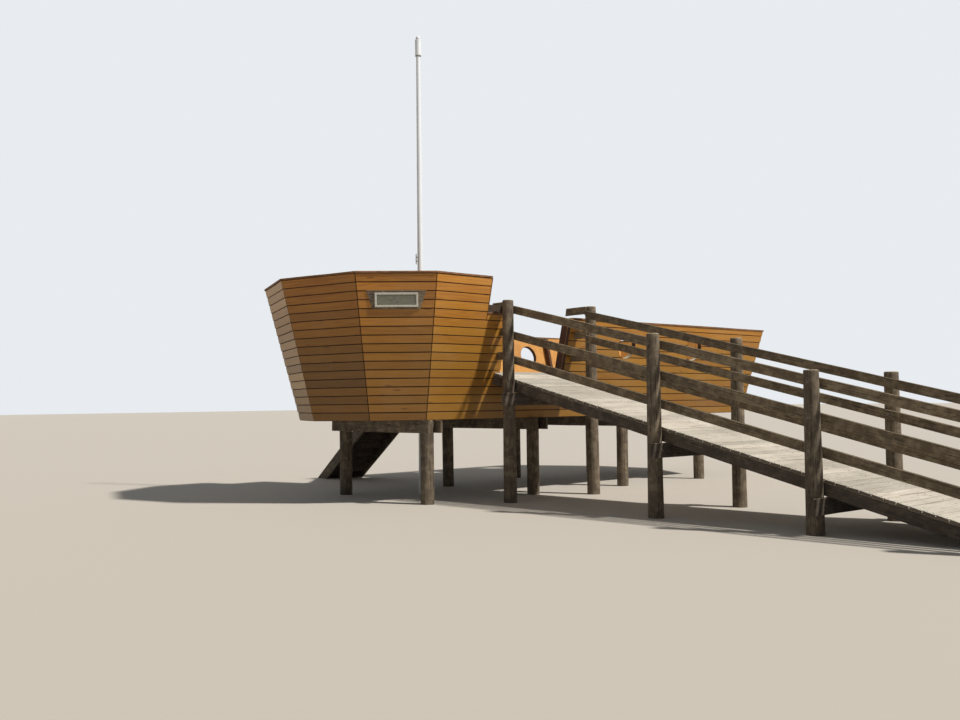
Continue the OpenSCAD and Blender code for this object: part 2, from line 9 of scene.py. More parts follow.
import bpy
import numpy as np
from mathutils import Matrix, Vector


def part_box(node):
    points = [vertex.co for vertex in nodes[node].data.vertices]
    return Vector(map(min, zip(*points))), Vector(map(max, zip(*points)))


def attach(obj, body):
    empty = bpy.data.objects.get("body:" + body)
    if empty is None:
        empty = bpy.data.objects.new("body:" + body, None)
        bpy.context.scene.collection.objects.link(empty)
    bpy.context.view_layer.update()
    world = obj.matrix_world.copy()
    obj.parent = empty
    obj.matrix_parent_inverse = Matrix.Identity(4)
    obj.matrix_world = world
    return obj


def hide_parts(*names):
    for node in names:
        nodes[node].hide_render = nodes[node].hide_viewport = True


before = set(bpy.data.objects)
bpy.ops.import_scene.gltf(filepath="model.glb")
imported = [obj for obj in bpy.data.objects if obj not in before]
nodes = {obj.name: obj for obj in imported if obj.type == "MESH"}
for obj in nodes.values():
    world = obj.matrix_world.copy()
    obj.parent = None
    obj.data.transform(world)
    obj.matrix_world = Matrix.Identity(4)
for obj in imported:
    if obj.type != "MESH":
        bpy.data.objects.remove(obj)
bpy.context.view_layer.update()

# %% [markdown]
# The photograph's eye point is at standing height, about 19 m from the hull's middle and a
# little below its floor. A camera could be placed by eye, but a measured place makes every
# edge comparable, so the eye point, heading, pitch and roll are written as real values.

# %% Camera
EYE = (-10.28, -13.95, 1.60)
HEADING = 0.875
PITCH = 0.044
ROLL = 0.0125
IMAGE_WIDTH = 960
FOCAL_PIXELS = 970
SENSOR = 36.0
VIEW_REACH = 1000.0
UP = np.array([0.0, 0.0, 1.0])


def add_object(name, data):
    """Puts a new object in the scene, at the origin."""
    made = bpy.data.objects.new(name, data)
    bpy.context.scene.collection.objects.link(made)
    return made


level_ahead = np.array([math.cos(HEADING), math.sin(HEADING), 0.0])
level_right = np.array([math.sin(HEADING), -math.cos(HEADING), 0.0])
ahead = math.cos(PITCH) * level_ahead + math.sin(PITCH) * UP
tipped_up = -math.sin(PITCH) * level_ahead + math.cos(PITCH) * UP
right = math.cos(ROLL) * level_right - math.sin(ROLL) * tipped_up
up = math.sin(ROLL) * level_right + math.cos(ROLL) * tipped_up

camera_data = bpy.data.cameras.new("camera")
camera_data.sensor_width = SENSOR
camera_data.lens = FOCAL_PIXELS / IMAGE_WIDTH * SENSOR
camera_data.clip_end = VIEW_REACH
camera = add_object("camera", camera_data)
placement = np.eye(4)
placement[:3, 0] = right
placement[:3, 1] = up
placement[:3, 2] = -ahead
placement[:3, 3] = EYE
camera.matrix_world = Matrix(placement)
bpy.context.scene.camera = camera
print("lens:", round(camera_data.lens, 3), "mm")


# %% [markdown]
# Shader sums read best as Python sums. One small class wraps a socket and gives it the
# operators; another builds the nodes. Then `1 - mask * 0.4` is a mask, and not four nodes
# that are placed by hand.

# %% Shader arithmetic
class Wire:
    """A node's output socket, whose arithmetic adds Math nodes to its shader."""

    def __init__(self, shader, socket):
        self.shader = shader
        self.socket = socket

    def math(self, operation, *others, clamp=False):
        """A Math node that takes this wire first and the others after it."""
        settings = {"operation": operation, "use_clamp": clamp}
        return self.shader.node("ShaderNodeMath", settings, dict(enumerate([self, *others])))

    def __add__(self, other):
        return self.math("ADD", other)

    def __sub__(self, other):
        return self.math("SUBTRACT", other)

    def __rsub__(self, other):
        """other - wire, as the wire times -1 plus other."""
        return self.math("MULTIPLY_ADD", -1.0, other)

    def __mul__(self, other):
        return self.math("MULTIPLY", other)

    __radd__ = __add__
    __rmul__ = __mul__

    def above(self, edge, soft):
        """0 below the edge and 1 above it, over a soft step of that width."""
        return (self - (edge - soft / 2)).math("MULTIPLY", 1 / soft, clamp=True)

    def below(self, edge, soft):
        """1 below the edge and 0 above it, over a soft step of that width."""
        return 1 - self.above(edge, soft)


class Shader:
    """A material's node tree, built by calls that take a node's settings and inputs."""

    def __init__(self, name, tree=None):
        if tree is None:
            self.material = bpy.data.materials.new(name)
            self.material.use_nodes = True
            tree = self.material.node_tree
        self.tree = tree
        self.surface = tree.nodes.get("Principled BSDF")

    def node(self, kind, settings=None, inputs=None, output=0):
        made = self.tree.nodes.new(kind)
        for key, value in (settings or {}).items():
            setattr(made, key, value)
        for key, value in (inputs or {}).items():
            self.feed(made.inputs[key], value)
        return Wire(self, None if output is None else made.outputs[output])

    def place(self):
        """Where a point lies on the object, in metres."""
        return self.node("ShaderNodeTexCoord", output=3)

    def attribute(self, name):
        """A number that the mesh keeps for each face."""
        return self.node("ShaderNodeAttribute", {"attribute_name": name}, output=2)

    def feed(self, socket, value):
        if isinstance(value, Wire):
            self.tree.links.new(value.socket, socket)
        else:
            socket.default_value = value

    def vector(self, x, y, z):
        return self.node("ShaderNodeCombineXYZ", None, {0: x, 1: y, 2: z})

    def parts(self, vector):
        split = self.node("ShaderNodeSeparateXYZ", None, {0: vector})
        return [Wire(self, split.socket.node.outputs[i]) for i in range(3)]

    def noise(self, vector, scale=1.0, detail=2.0, roughness=0.5):
        return self.node("ShaderNodeTexNoise", None, {
            "Vector": vector, "Scale": scale, "Detail": detail, "Roughness": roughness})

    def blend(self, factor, first, second):
        """A colour between two colours: first where the factor is 0, second where it is 1."""
        return self.node("ShaderNodeMix", {"data_type": "RGBA"},
                         {0: factor, 6: first, 7: second}, output=2)

    def layers(self, base, *coats):
        """A base colour under coats, each a mask from 0 to 1 and the colour that it brings."""
        colour = rgb(*base)
        for mask, coat in coats:
            colour = self.blend(mask, colour, rgb(*coat))
        return colour

    def shade(self, colour, factor):
        """A colour with each channel multiplied by one number."""
        return self.node("ShaderNodeVectorMath", {"operation": "SCALE"},
                         {0: colour, "Scale": factor})

    def finish(self, colour, roughness, bump=None, bump_depth=0.001, metallic=0.0):
        self.feed(self.surface.inputs["Base Color"], colour)
        self.feed(self.surface.inputs["Roughness"], roughness)
        self.surface.inputs["Metallic"].default_value = metallic
        if bump is not None:
            normal = self.node("ShaderNodeBump", None, {"Height": bump, "Distance": bump_depth})
            self.feed(self.surface.inputs["Normal"], normal)
        return self.material


def rgb(red, green, blue):
    """A colour as it looks on a screen, from 0 to 255, as the linear colour of a shader."""
    linear = [((c / 255 + 0.055) / 1.055) ** 2.4 if c > 10 else c / 255 / 12.92
              for c in (red, green, blue)]
    return (*linear, 1.0)


# %% [markdown]
# Every timber finish is the same wood seen at another age, so one function makes the grain.
# It reads a UV map in metres, with u along the grain and v across it, and a tone that each
# board has for itself, so that no two boards share a pattern.

# %% Timber finishes
def grain(shader):
    """Fibres, growth rings, knots and splits of one board, each from 0 to 1.

    Noise is stretched along u, so that it draws lines; a sine of slow noise draws the
    growth rings, and the thin band where another noise crosses a half draws the splits."""
    u, v, _ = shader.parts(shader.node("ShaderNodeUVMap", {"uv_map": "grain"}))
    tone = shader.attribute("tone")
    own = tone * 61.0
    fibre = shader.noise(shader.vector(u * 5.0, v * 190.0, own), detail=3.0)
    slow = shader.noise(shader.vector(u * 0.55, v * 9.0, own), detail=1.0)
    rings = (slow * 46.0).math("SINE") * 0.5 + 0.5
    spots = shader.node("ShaderNodeTexVoronoi", None,
                        {"Vector": shader.vector(u * 1.7, v * 9.0, own), "Scale": 1.0})
    knots = spots.below(0.11, 0.06)
    line = shader.noise(shader.vector(u * 1.1, v * 46.0, own + 7.0), detail=2.0) - 0.5
    splits = line.math("ABSOLUTE").below(0.012, 0.014)
    return SimpleNamespace(tone=tone, fibre=fibre, rings=rings, knots=knots, splits=splits)


def oiled_cladding():
    """Golden oiled boards: fresh orange near the top, olive lower down, grey where worn and where
    sky light is painted.

    A face attribute gives the share of its wall whose boards turn worn grey: lost oil, and on the
    castle's far front face also painted sky light. The height moves the olive tone and darkens the
    lowest boards."""
    shader = Shader("oiled_cladding")
    wood, place = grain(shader), shader.place()
    height = shader.parts(place)[2]
    worn = shader.noise(place, scale=1.1, detail=4.0, roughness=0.6)
    olive = height.below(2.95, 1.1) * 0.62 + wood.tone.above(0.5, 0.8) * 0.4
    # Worn grey from worn patches and from each wall's share, which on the castle's far front face
    # is also painted sky light
    wear_and_sky_grey = worn.above(0.56, 0.2) * 0.16 + shader.attribute("age") * 0.8
    colour = shader.layers((224, 150, 44),
                           (wood.rings * 0.4 + wood.fibre * 0.5, (174, 102, 24)),
                           (olive.math("MINIMUM", 0.9), (150, 107, 27)),
                           (wear_and_sky_grey.math("MINIMUM", 1.0), (187, 154, 112)),
                           (wood.knots * 0.6, (104, 58, 22)))
    colour = shader.shade(colour, wood.tone * 0.42 + 0.70 - height.below(2.3, 1.2) * 0.14)
    bump = wood.fibre * 0.6 + wood.rings * 0.3
    return shader.finish(colour, wood.fibre * 0.2 + 0.46, bump, 0.0012)


def planed_lining():
    """Smooth orange lining sheets, out of the weather."""
    shader = Shader("planed_lining")
    wood = grain(shader)
    damp = shader.noise(shader.place(), scale=4.5, detail=4.0, roughness=0.6)
    colour = shader.layers((224, 164, 80),
                           (wood.rings * 0.55 + wood.fibre * 0.3, (192, 128, 50)),
                           (damp.above(0.54, 0.16) * 0.5, (176, 118, 54)))
    colour = shader.shade(colour, wood.tone * 0.2 + 0.86)
    return shader.finish(colour, wood.fibre * 0.15 + 0.5, wood.fibre, 0.0006)


def weathered(name, depth, light, dark, split, end):
    """Unpainted timber gone grey: pale raised fibres, dark splits and damp patches.

    The colours are those of its light and dark wood, its splits and its cut ends. Faces that look
    up are made paler by the upward part of the surface normal: partly sun bleaching, partly a
    painted light from above."""
    shader = Shader(name)
    wood, place = grain(shader), shader.place()
    patches = shader.noise(place, scale=2.2, detail=5.0, roughness=0.62)
    mottle = shader.noise(place, scale=8.0, detail=4.0, roughness=0.65)
    upward = shader.parts(shader.node("ShaderNodeNewGeometry", output=1))[2]
    colour = shader.layers(dark,
                           (wood.fibre * 0.8 + wood.rings * 0.15, light),
                           (patches.above(0.5, 0.2) * 0.6, dark),
                           (mottle.above(0.52, 0.12) * 0.5, dark),
                           (mottle.below(0.44, 0.1) * 0.3, light),
                           (wood.knots * 0.7, split),
                           (wood.splits * 0.85, split),
                           (shader.attribute("cut_end") * 0.75, end),
                           # Painted top light, with sun bleaching: faces that look up turn pale
                           (upward.above(0.6, 0.5) * 0.75, (212, 196, 166)))
    colour = shader.shade(colour, wood.tone * 0.35 + 0.8)
    bump = wood.fibre * 0.5 - wood.splits * 0.9
    return shader.finish(colour, wood.fibre * 0.12 + 0.78, bump, depth)


def bleached_deck():
    """Deck boards bleached by the sun, with grey ends and fine dark splits."""
    shader = Shader("bleached_deck")
    wood = grain(shader)
    dusty = shader.noise(shader.place(), scale=1.7, detail=5.0, roughness=0.6)
    colour = shader.layers((182, 174, 160),
                           (wood.fibre * 0.7 + wood.rings * 0.2, (224, 217, 204)),
                           (dusty.above(0.52, 0.2) * 0.45, (230, 223, 210)),
                           (wood.knots * 0.5, (128, 104, 78)),
                           (wood.splits * 0.55, (104, 88, 70)),
                           (shader.attribute("cut_end") * 0.85, (84, 70, 54)))
    colour = shader.shade(colour, wood.tone * 0.34 + 0.74)
    bump = wood.fibre * 0.5 - wood.splits * 0.8
    return shader.finish(colour, wood.fibre * 0.1 + 0.8, bump, 0.0012)


def shaded_core():
    """Timber behind the boards, near black as painted shade, which shows only in the gaps and at
    cut edges.
    """
    shader = Shader("board_core")
    x, y, z = shader.parts(shader.place())
    streaks = shader.noise(shader.vector(x * 3.0, y * 3.0, z * 60.0), detail=3.0)
    colour = shader.layers((36, 22, 11), (streaks, (64, 40, 20)))
    return shader.finish(colour, streaks * 0.1 + 0.75, streaks, 0.001)


def white_paint():
    """White mast paint, a little chalky, with faint grey streaks where rain runs down."""
    shader = Shader("white_paint")
    x, y, z = shader.parts(shader.place())
    streaks = shader.noise(shader.vector(x * 60.0, y * 60.0, z * 1.2), detail=3.0)
    colour = shader.layers((236, 241, 248), (streaks.above(0.58, 0.2) * 0.4, (196, 200, 204)))
    return shader.finish(colour, streaks * 0.2 + 0.3, streaks, 0.0003)


def zinc():
    """Bolt heads and washers: dull zinc going brown."""
    shader = Shader("zinc")
    rust = shader.noise(shader.place(), scale=90.0, detail=3.0)
    colour = shader.layers((128, 126, 122), (rust.above(0.5, 0.2), (92, 66, 46)))
    return shader.finish(colour, rust * 0.3 + 0.4, rust, 0.0004, metallic=0.6)


def sign_paint(name, colour, worn_colour):
    """Matt paint on the sign, thin where the weather has worn it."""
    shader = Shader(name)
    wear = shader.noise(shader.place(), scale=24.0, detail=5.0, roughness=0.65)
    mixed = shader.layers(colour, (wear.above(0.55, 0.2) * 0.6, worn_colour))
    return shader.finish(mixed, wear * 0.2 + 0.5, wear, 0.0005)


CLADDING = oiled_cladding()
LINING = planed_lining()
GREY = weathered("grey_timber", 0.003,
                 (152, 137, 114), (80, 69, 57), (38, 31, 24), (92, 80, 64))
RAIL = weathered("rail_timber", 0.002,
                 (172, 155, 127), (92, 77, 58), (42, 32, 22), (96, 80, 60))
DARK = weathered("dark_timber", 0.002,
                 (108, 96, 82), (54, 45, 37), (22, 18, 15), (84, 73, 59))
# Its dark brown is partly the wood's own colour and partly painted shade: the studs, jamb studs
# and porthole reveals are darkened as they look in shade
BROWN = weathered("brown_timber", 0.0015,
                  (106, 64, 34), (58, 32, 17), (28, 20, 14), (160, 120, 76))
# Painted shade: a darker brown for the waist rail, which stands in the shadow of the ramp's first
# post
SHADE_PAINTED_TIMBER = weathered("damp_timber", 0.002,
                 (82, 60, 42), (44, 30, 20), (22, 16, 11), (104, 80, 58))
DECK = bleached_deck()
CAP = weathered("cap_timber", 0.0012,
                (172, 126, 86), (116, 78, 50), (72, 48, 30), (206, 164, 118))
CORE = shaded_core()
PAINT = white_paint()
ZINC = zinc()
SIGN_FIELD = sign_paint("sign_field", (124, 124, 110), (92, 90, 78))
SIGN_FRAME = sign_paint("sign_frame", (206, 204, 194), (164, 160, 148))
print("materials:", [m.name for m in bpy.data.materials])


# %% [markdown]
# Boards, posts, rails and bolts are all one kind of surface: a closed outline that is
# carried along a path. A strip is such a surface as an array of rings, and one function
# turns a list of strips into a mesh, with its grain map and its tones.

# %% From strips to a mesh
# A piece's grain starts up to this many metres along, so that no two pieces are alike
MAP_SHIFT = 9
# Keeps a division away from zero
TINY = 1e-9


def strip(rings, grain_map, tone, loop=False):
    """A closed outline carried along a path.

    rings is an array (ring, point, xyz). grain_map is (ring, point + 1, 2), in metres, and
    its last point is the first one again. A loop runs back into its own first ring, and
    has no ends."""
    return {"rings": np.asarray(rings, float), "map": np.asarray(grain_map, float),
            "tone": float(tone), "loop": loop}


def distances(points):
    """How far along a line of points each of them lies."""
    return np.r_[0, np.cumsum(np.linalg.norm(np.diff(points, axis=0), axis=-1))]


def grid(along, around):
    """A grain map from distances along the path and round the outline, which broadcast."""
    return np.stack(np.broadcast_arrays(along, around), -1)


def closed(columns):
    """An array's columns with the first again after the last."""
    return np.concatenate([columns, columns[:, :1]], 1)


def angles(count):
    """Evenly spaced angles, once round."""
    return np.linspace(0, 2 * np.pi, count, endpoint=False)


def long_map(rings, shift=0.0):
    """A grain map with u along the path and v round the outline, both as true distances."""
    middle = rings[len(rings) // 2]
    return grid(distances(rings.mean(1))[:, None] + shift, distances(np.r_[middle, middle[:1]]))


def inside_out(rings):
    """Whether faces in the rings' own order point inwards: the sum over the faces of the
    centre dotted with the area vector, which is three times the volume, is negative."""
    here = rings - rings.reshape(-1, 3).mean(0)
    after = np.roll(here, -1, axis=1)
    area = np.cross(here[1:] - here[:-1], after[1:] - here[:-1])
    area = area + np.cross(after[1:] - here[:-1], after[:-1] - here[:-1])
    centre = (here[:-1] + here[1:] + after[1:] + after[:-1]) / 4
    return np.sum(centre * area) < 0


def end_map(ring):
    """Flat coordinates of a cut end, about its middle."""
    here = ring - ring.mean(0)
    side = here[0] / (np.linalg.norm(here[0]) + TINY)
    other = np.cross(np.cross(here[0], here[len(ring) // 3]), side)
    other = other / (np.linalg.norm(other) + TINY)
    return np.stack([here @ side, here @ other], -1)


def strip_faces(s, base):
    """A strip's faces as point numbers, their places on the grain map and its end flags."""
    rings = s["rings"]
    count, sides = rings.shape[:2]
    index = base + np.arange(count * sides).reshape(count, sides)
    place = s["map"]
    if s["loop"]:
        index = np.concatenate([index, index[:1]])
        place = np.concatenate([place, place[:1]])
    after = np.roll(index, -1, axis=1)
    quads = np.stack([index[:-1], index[1:], after[1:], after[:-1]], -1).reshape(-1, 4)
    corners = np.stack([place[:-1, :-1], place[1:, :-1], place[1:, 1:], place[:-1, 1:]], 2)
    corners = corners.reshape(-1, 4, 2)
    caps = [] if s["loop"] else [index[0, ::-1], index[-1]]
    cap_map = [] if s["loop"] else [end_map(rings[0, ::-1]), end_map(rings[-1])]
    if inside_out(rings):
        quads, corners = quads[:, ::-1], corners[:, ::-1]
        caps = [c[::-1] for c in caps]
        cap_map = [c[::-1] for c in cap_map]
    return quads, corners, caps, cap_map


SHARP = math.radians(38)


def build(name, strips, material, replaced=(), smooth=False):
    """Joins strips into one mesh object, with its maps and finish, and puts it in place."""
    points, faces, places, tones, cut, age_and_sky_values = [], [], [], [], [], []
    base = 0
    for s in strips:
        quads, corners, caps, cap_map = strip_faces(s, base)
        points.append(s["rings"].reshape(-1, 3))
        faces += quads.tolist() + [c.tolist() for c in caps]
        places += [corners.reshape(-1, 2), *cap_map]
        tones.append(np.full(len(quads) + len(caps), s["tone"]))
        cut.append(np.r_[np.zeros(len(quads)), np.ones(len(caps))])
        age_and_sky_values.append(np.full(len(quads) + len(caps), s.get("age", 0.0)))
        base += len(points[-1])
    mesh = bpy.data.meshes.new(name)
    mesh.from_pydata(np.concatenate(points), [], faces)
    mesh.uv_layers.new(name="grain").data.foreach_set("uv", np.concatenate(places).ravel())
    for label, values in (("tone", tones), ("cut_end", cut), ("age", age_and_sky_values)):
        attribute = mesh.attributes.new(label, "FLOAT", "FACE")
        attribute.data.foreach_set("value", np.concatenate(values))
    if smooth:
        mesh.polygons.foreach_set("use_smooth", np.ones(len(mesh.polygons), bool))
        mesh.set_sharp_from_angle(angle=SHARP)
    mesh.materials.append(material)
    piece = add_object(name, mesh)
    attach(piece, "root")
    if replaced:
        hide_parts(*replaced)
    print(f"{name}: {len(strips)} strips, {sum(len(f) - 2 for f in faces)} triangles")


# %% [markdown]
# A squared timber is its outline at one end carried to its outline at the other. The frame
# already knows both ends of every beam, stud and rail, also where they are cut at a slant,
# so the corners are read from it. They are then rounded, because no sawn edge stays sharp
# for long, and the timber gets a slow bow of a millimetre or two.

# %% Corners of the frame's solids
# Corners nearer than this, in one direction, share a face
SAME = 0.002
# Outlines nearer than this along a timber are one
NEXT_STATION = 0.01


def solids(node):
    """The separate solids of a node, each as the array of its different corners.

    Points nearer than a tenth of a millimetre are one; a label then spreads over the
    triangles, each triangle taking its smallest, until nothing changes."""
    mesh = nodes[node].data
    points = np.zeros(len(mesh.vertices) * 3)
    mesh.vertices.foreach_get("co", points)
    mesh.calc_loop_triangles()
    triangles = np.zeros(len(mesh.loop_triangles) * 3, int)
    mesh.loop_triangles.foreach_get("vertices", triangles)
    unique, inverse = np.unique(np.round(points.reshape(-1, 3), 4), axis=0, return_inverse=True)
    triangles = inverse.ravel()[triangles].reshape(-1, 3)
    label = np.arange(len(unique))
    settled = False
    while not settled:
        spread = label.copy()
        np.minimum.at(spread, triangles.ravel(), np.repeat(label[triangles].min(1), 3))
        settled = np.array_equal(spread, label)
        label = spread
    return [unique[label == k] for k in np.unique(label)]


def all_corners(node):
    """The corners of all solids of a node in one array."""
    return np.concatenate(solids(node))


def middle_of(values):
    """Halfway between the least and the greatest, in each direction."""
    return (values.min(0) + values.max(0)) / 2


def end_outlines(corners):
    """The two end outlines of a timber with eight corners, as an array (end, corner, xyz).

    The long way is the first principal axis of the corners, and the four corners of an end
    are put in order by their angle about it."""
    here = corners - corners.mean(0)
    _, _, (long_way, wide, thick) = np.linalg.svd(here, full_matrices=False)
    order = np.argsort(here @ long_way)
    outlines = []
    for four in (corners[order[:4]], corners[order[4:]]):
        flat = four - four.mean(0)
        outlines.append(four[np.argsort(np.arctan2(flat @ thick, flat @ wide))])
    return np.stack(outlines)


def across(corners):
    """The end outlines of a plank that stands across the ship.

    Its four long edges are the extremes of x and z; each ends at its own extremes of y."""
    x, y, z = corners.T
    edges = [(x.min(), z.min()), (x.max(), z.min()), (x.max(), z.max()), (x.min(), z.max())]
    return np.array([[[ex, extreme(y[np.hypot(x - ex, z - ez) < SAME]), ez] for ex, ez in edges]
                     for extreme in (np.min, np.max)])


def rail_parts(corners):
    """A rail's level end and its sloping run, with eight corners each.

    They meet at one post, where the rail has four heights: the first and third are the
    sloping part's edges, the second and fourth the level part's."""
    y = corners[:, 1]
    values, counts = np.unique(np.round(y, 3), return_counts=True)
    joint = values[np.argmax(counts)]
    there = np.abs(y - joint) < SAME
    heights = np.unique(np.round(corners[there, 2], 3))
    of_level = np.abs(corners[:, 2, None] - heights[[1, 3]]).min(1) < SAME
    level = corners[(y > joint + SAME) | (there & of_level)]
    slope = corners[(y < joint - SAME) | (there & ~of_level)]
    return [level, slope]


def stations_along_y(corners):
    """Outlines of a timber that runs along Y between two faces square to X.

    At each different y of its corners, the height of its top and bottom edge is read from
    the corners on either side, so a bent or slant-cut timber is a row of upright outlines."""
    x0, x1 = corners[:, 0].min(), corners[:, 0].max()
    profile = corners[corners[:, 0] < (x0 + x1) / 2][:, 1:]
    line = np.polyfit(profile[:, 0], profile[:, 1], 1)
    above = profile[:, 1] > np.polyval(line, profile[:, 0])
    tops = profile[above][np.argsort(profile[above][:, 0])]
    lows = profile[~above][np.argsort(profile[~above][:, 0])]
    y = np.unique(np.round(profile[:, 0], 3))
    y = y[np.r_[True, np.diff(y) > NEXT_STATION]]
    top = np.interp(y, tops[:, 0], tops[:, 1])
    low = np.interp(y, lows[:, 0], lows[:, 1])
    quad = [(x0, low), (x1, low), (x1, top), (x0, top)]
    return np.stack([np.stack([np.full(len(y), x), y, z], -1) for x, z in quad], 1)


# %% [markdown]
# A sawn timber could be a box with a bevel, but a beam that is cut at a slant has no square
# corners for a bevel to start from. So a rounded outline is worked out as a blend of the
# timber's own four corners, at every station along it, and the result fits any cut.

# %% Squared timbers
CORNER_TURNS = np.radians([0.0, 45.0, 90.0])
EASE = 0.004
END_INSET = 0.6
BOW, BOW_FADE = 0.0015, 0.3
SWAY_RATES, LIFT_RATES, FAST_SHARE = (1.9, 5.1), (2.3, 4.4), 0.6
TIMBER_STEP = 0.45


def rounded(outlines, radius, inset):
    """Rounded outlines from four-cornered ones, all stations at once.

    A point in an outline is a blend of its corners by two fractions; near each corner the
    fractions follow a quarter circle. inset draws the whole outline in, one per station."""
    wide = np.linalg.norm(outlines[:, 1] - outlines[:, 0], axis=-1)[:, None]
    high = np.linalg.norm(outlines[:, 3] - outlines[:, 0], axis=-1)[:, None]
    far_in = radius * (1 - np.sin(CORNER_TURNS)) + inset[:, None]
    near_in = radius * (1 - np.cos(CORNER_TURNS)) + inset[:, None]
    a = np.concatenate([near_in / wide, 1 - far_in[:, ::-1] / wide,
                        1 - near_in[:, ::-1] / wide, far_in / wide], -1)
    b = np.concatenate([far_in / high, near_in[:, ::-1] / high,
                        1 - far_in[:, ::-1] / high, 1 - near_in / high], -1)
    weights = np.stack([(1 - a) * (1 - b), a * (1 - b), a * b, (1 - a) * b], -1)
    return np.einsum("spk,skx->spx", weights, outlines)


def slow_wave(distance, rates, phases):
    """A slow sine wave of the distance, and a faster and lower one on it."""
    slow, fast = (np.sin(distance * rate + phase) for rate, phase in zip(rates, phases))
    return slow + FAST_SHARE * fast


def timber(stations, rng, radius=EASE, bow=BOW):
    """A squared timber through outlines (station, corner, xyz), with eased ends.

    Outlines between the stations lie on straight lines, and each is moved sideways and
    up by a slow wave of its distance along the timber, which fades out at its ends."""
    at = distances(stations.mean(1))
    inner = [np.linspace(a, b, max(2, int((b - a) / TIMBER_STEP)) + 1)[:-1]
             for a, b in zip(at[:-1], at[1:])]
    distance = np.unique(np.r_[np.concatenate(inner), radius, at[-1] - radius, at[-1]])
    flat = stations.reshape(len(stations), -1)
    outlines = np.stack([np.interp(distance, at, c) for c in flat.T], -1).reshape(-1, 4, 3)
    inset = np.where((distance == 0) | (distance == at[-1]), radius * END_INSET, 0.0)
    rings = rounded(outlines, radius, inset)
    side, rise = outlines[0, 1] - outlines[0, 0], outlines[0, 3] - outlines[0, 0]
    phase = rng.uniform(0, 2 * np.pi, 4)
    fade = np.clip(np.minimum(distance, at[-1] - distance) / BOW_FADE, 0, 1) * bow
    sway = slow_wave(distance, SWAY_RATES, phase[:2]) * fade
    lift = slow_wave(distance, LIFT_RATES, phase[2:]) * fade
    shift = sway[:, None] * side / np.linalg.norm(side)
    shift = shift + lift[:, None] * rise / np.linalg.norm(rise)
    rings = rings + shift[:, None, :]
    return strip(rings, long_map(rings, rng.uniform(0, MAP_SHIFT)), rng.uniform())


def timbers(node, seed, material, radius=EASE, bow=BOW, stations=end_outlines,
            split=lambda corners: [corners]):
    """Builds every timber of a node from the corners of its solids.

    split gives the parts of a solid, and stations the outlines of a part."""
    rng = np.random.default_rng(seed)
    parts = [part for corners in solids(node) for part in split(corners)]
    strips = [timber(stations(part), rng, radius, bow) for part in parts]
    build(node + "_timber", strips, material, [node])


# %% [markdown]
# Heavy planks clasp the posts, bearers and joists lie above them, and studs stand against
# the walls. Each node of the frame becomes one piece, and only its finish and the way its
# corners are read differ: most by their ends, joists and bearers across the ship, stringers
# by upright outlines, and rails in two parts.

# %% Beams, joists, studs and rails
timbers("cross_beams", 11, GREY, radius=0.006)
timbers("ramp_cross_beams", 12, DARK, radius=0.006)
timbers("deck_joists", 13, DARK, stations=across)
timbers("castle_joists", 27, DARK, stations=across)
timbers("floor_bearers", 28, DARK, stations=across)
timbers("deck_props", 14, DARK)
# The studs' dark brown is partly painted shade
timbers("wall_studs", 15, BROWN)
timbers("castle_studs", 16, BROWN)
timbers("jamb_studs", 17, BROWN)
# The waist rail's darker finish is painted shade
timbers("waist_rail", 18, SHADE_PAINTED_TIMBER)
timbers("castle_cap", 19, CAP)
timbers("rim_cap", 29, CAP)
timbers("stair_stringers", 20, GREY)
timbers("stair_treads", 21, DARK)
timbers("stair_risers", 26, DARK)
timbers("sign_backing", 22, GREY)
timbers("ramp_stringers", 23, DARK, stations=stations_along_y)
timbers("ramp_rails_near", 24, RAIL, radius=0.007, split=rail_parts)
timbers("ramp_rails_far", 25, RAIL, radius=0.007, split=rail_parts)


BULKHEAD_ROWS = 4
BULKHEAD_GAP = 0.005


def rows_of(stations):
    """Cuts upright boards out of one tall one, from fractions of its height."""
    low, high = stations[:, [0, 1]], stations[:, [3, 2]]
    share = np.arange(BULKHEAD_ROWS + 1) / BULKHEAD_ROWS
    part = BULKHEAD_GAP / np.linalg.norm(high[0, 0] - low[0, 0])
    return [np.concatenate([low + (high - low) * a, (low + (high - low) * (b - part))[:, ::-1]], 1)
            for a, b in zip(share[:-1], share[1:])]


rng = np.random.default_rng(30)
bulkhead = [timber(rows, rng) for rows in rows_of(across(all_corners("castle_bulkhead")))]
build("castle_bulkhead_boards", bulkhead, LINING, ["castle_bulkhead"])

# %% [markdown]
# The hull's walls lean outwards and are clad with level boards. A wall's face is easiest to
# work on as a sheet with three coordinates: x along it, h up its slope and d out of it. A
# corner between two walls is a mitre, so a wall's left and right limit moves with h and d.

# %% A wall's face as a sheet
SIDES = ("near", "far")
LONG_SIDE = ("castle_side", "waist_wall", "sill_wall", "side_wall")
SHIP_MIDDLE = np.array([2.9, 0.0, 0.0])
HOLE_CLEAR = 0.1
HOLE_SPACING = 0.3


def wall_corners(node):
    """A wall's corners as an array (bottom or top, outer or inner, left or right, xyz), as
    they are seen from outside, and its level direction and outward direction."""
    corners = all_corners(node)
    z = corners[:, 2]
    low, high = (corners[np.abs(z - level) < SAME] for level in (z.min(), z.max()))
    _, _, axes = np.linalg.svd((low - low.mean(0))[:, :2], full_matrices=False)
    out = np.array([-axes[0, 1], axes[0, 0], 0.0])
    out = out * np.sign(out @ (low.mean(0) - SHIP_MIDDLE))
    outer = low[np.argsort(low @ out)[2:]]
    right = (outer[1] - outer[0]) / np.linalg.norm(outer[1] - outer[0])
    right = right * np.sign(right @ np.cross(-out, UP))
    out = np.cross(right, UP)
    ordered = []
    for level in (low, high):
        inner, outer = np.split(level[np.argsort(level @ out)], 2)
        ordered.append([two[np.argsort(two @ right)] for two in (outer, inner)])
    return np.array(ordered), right, out


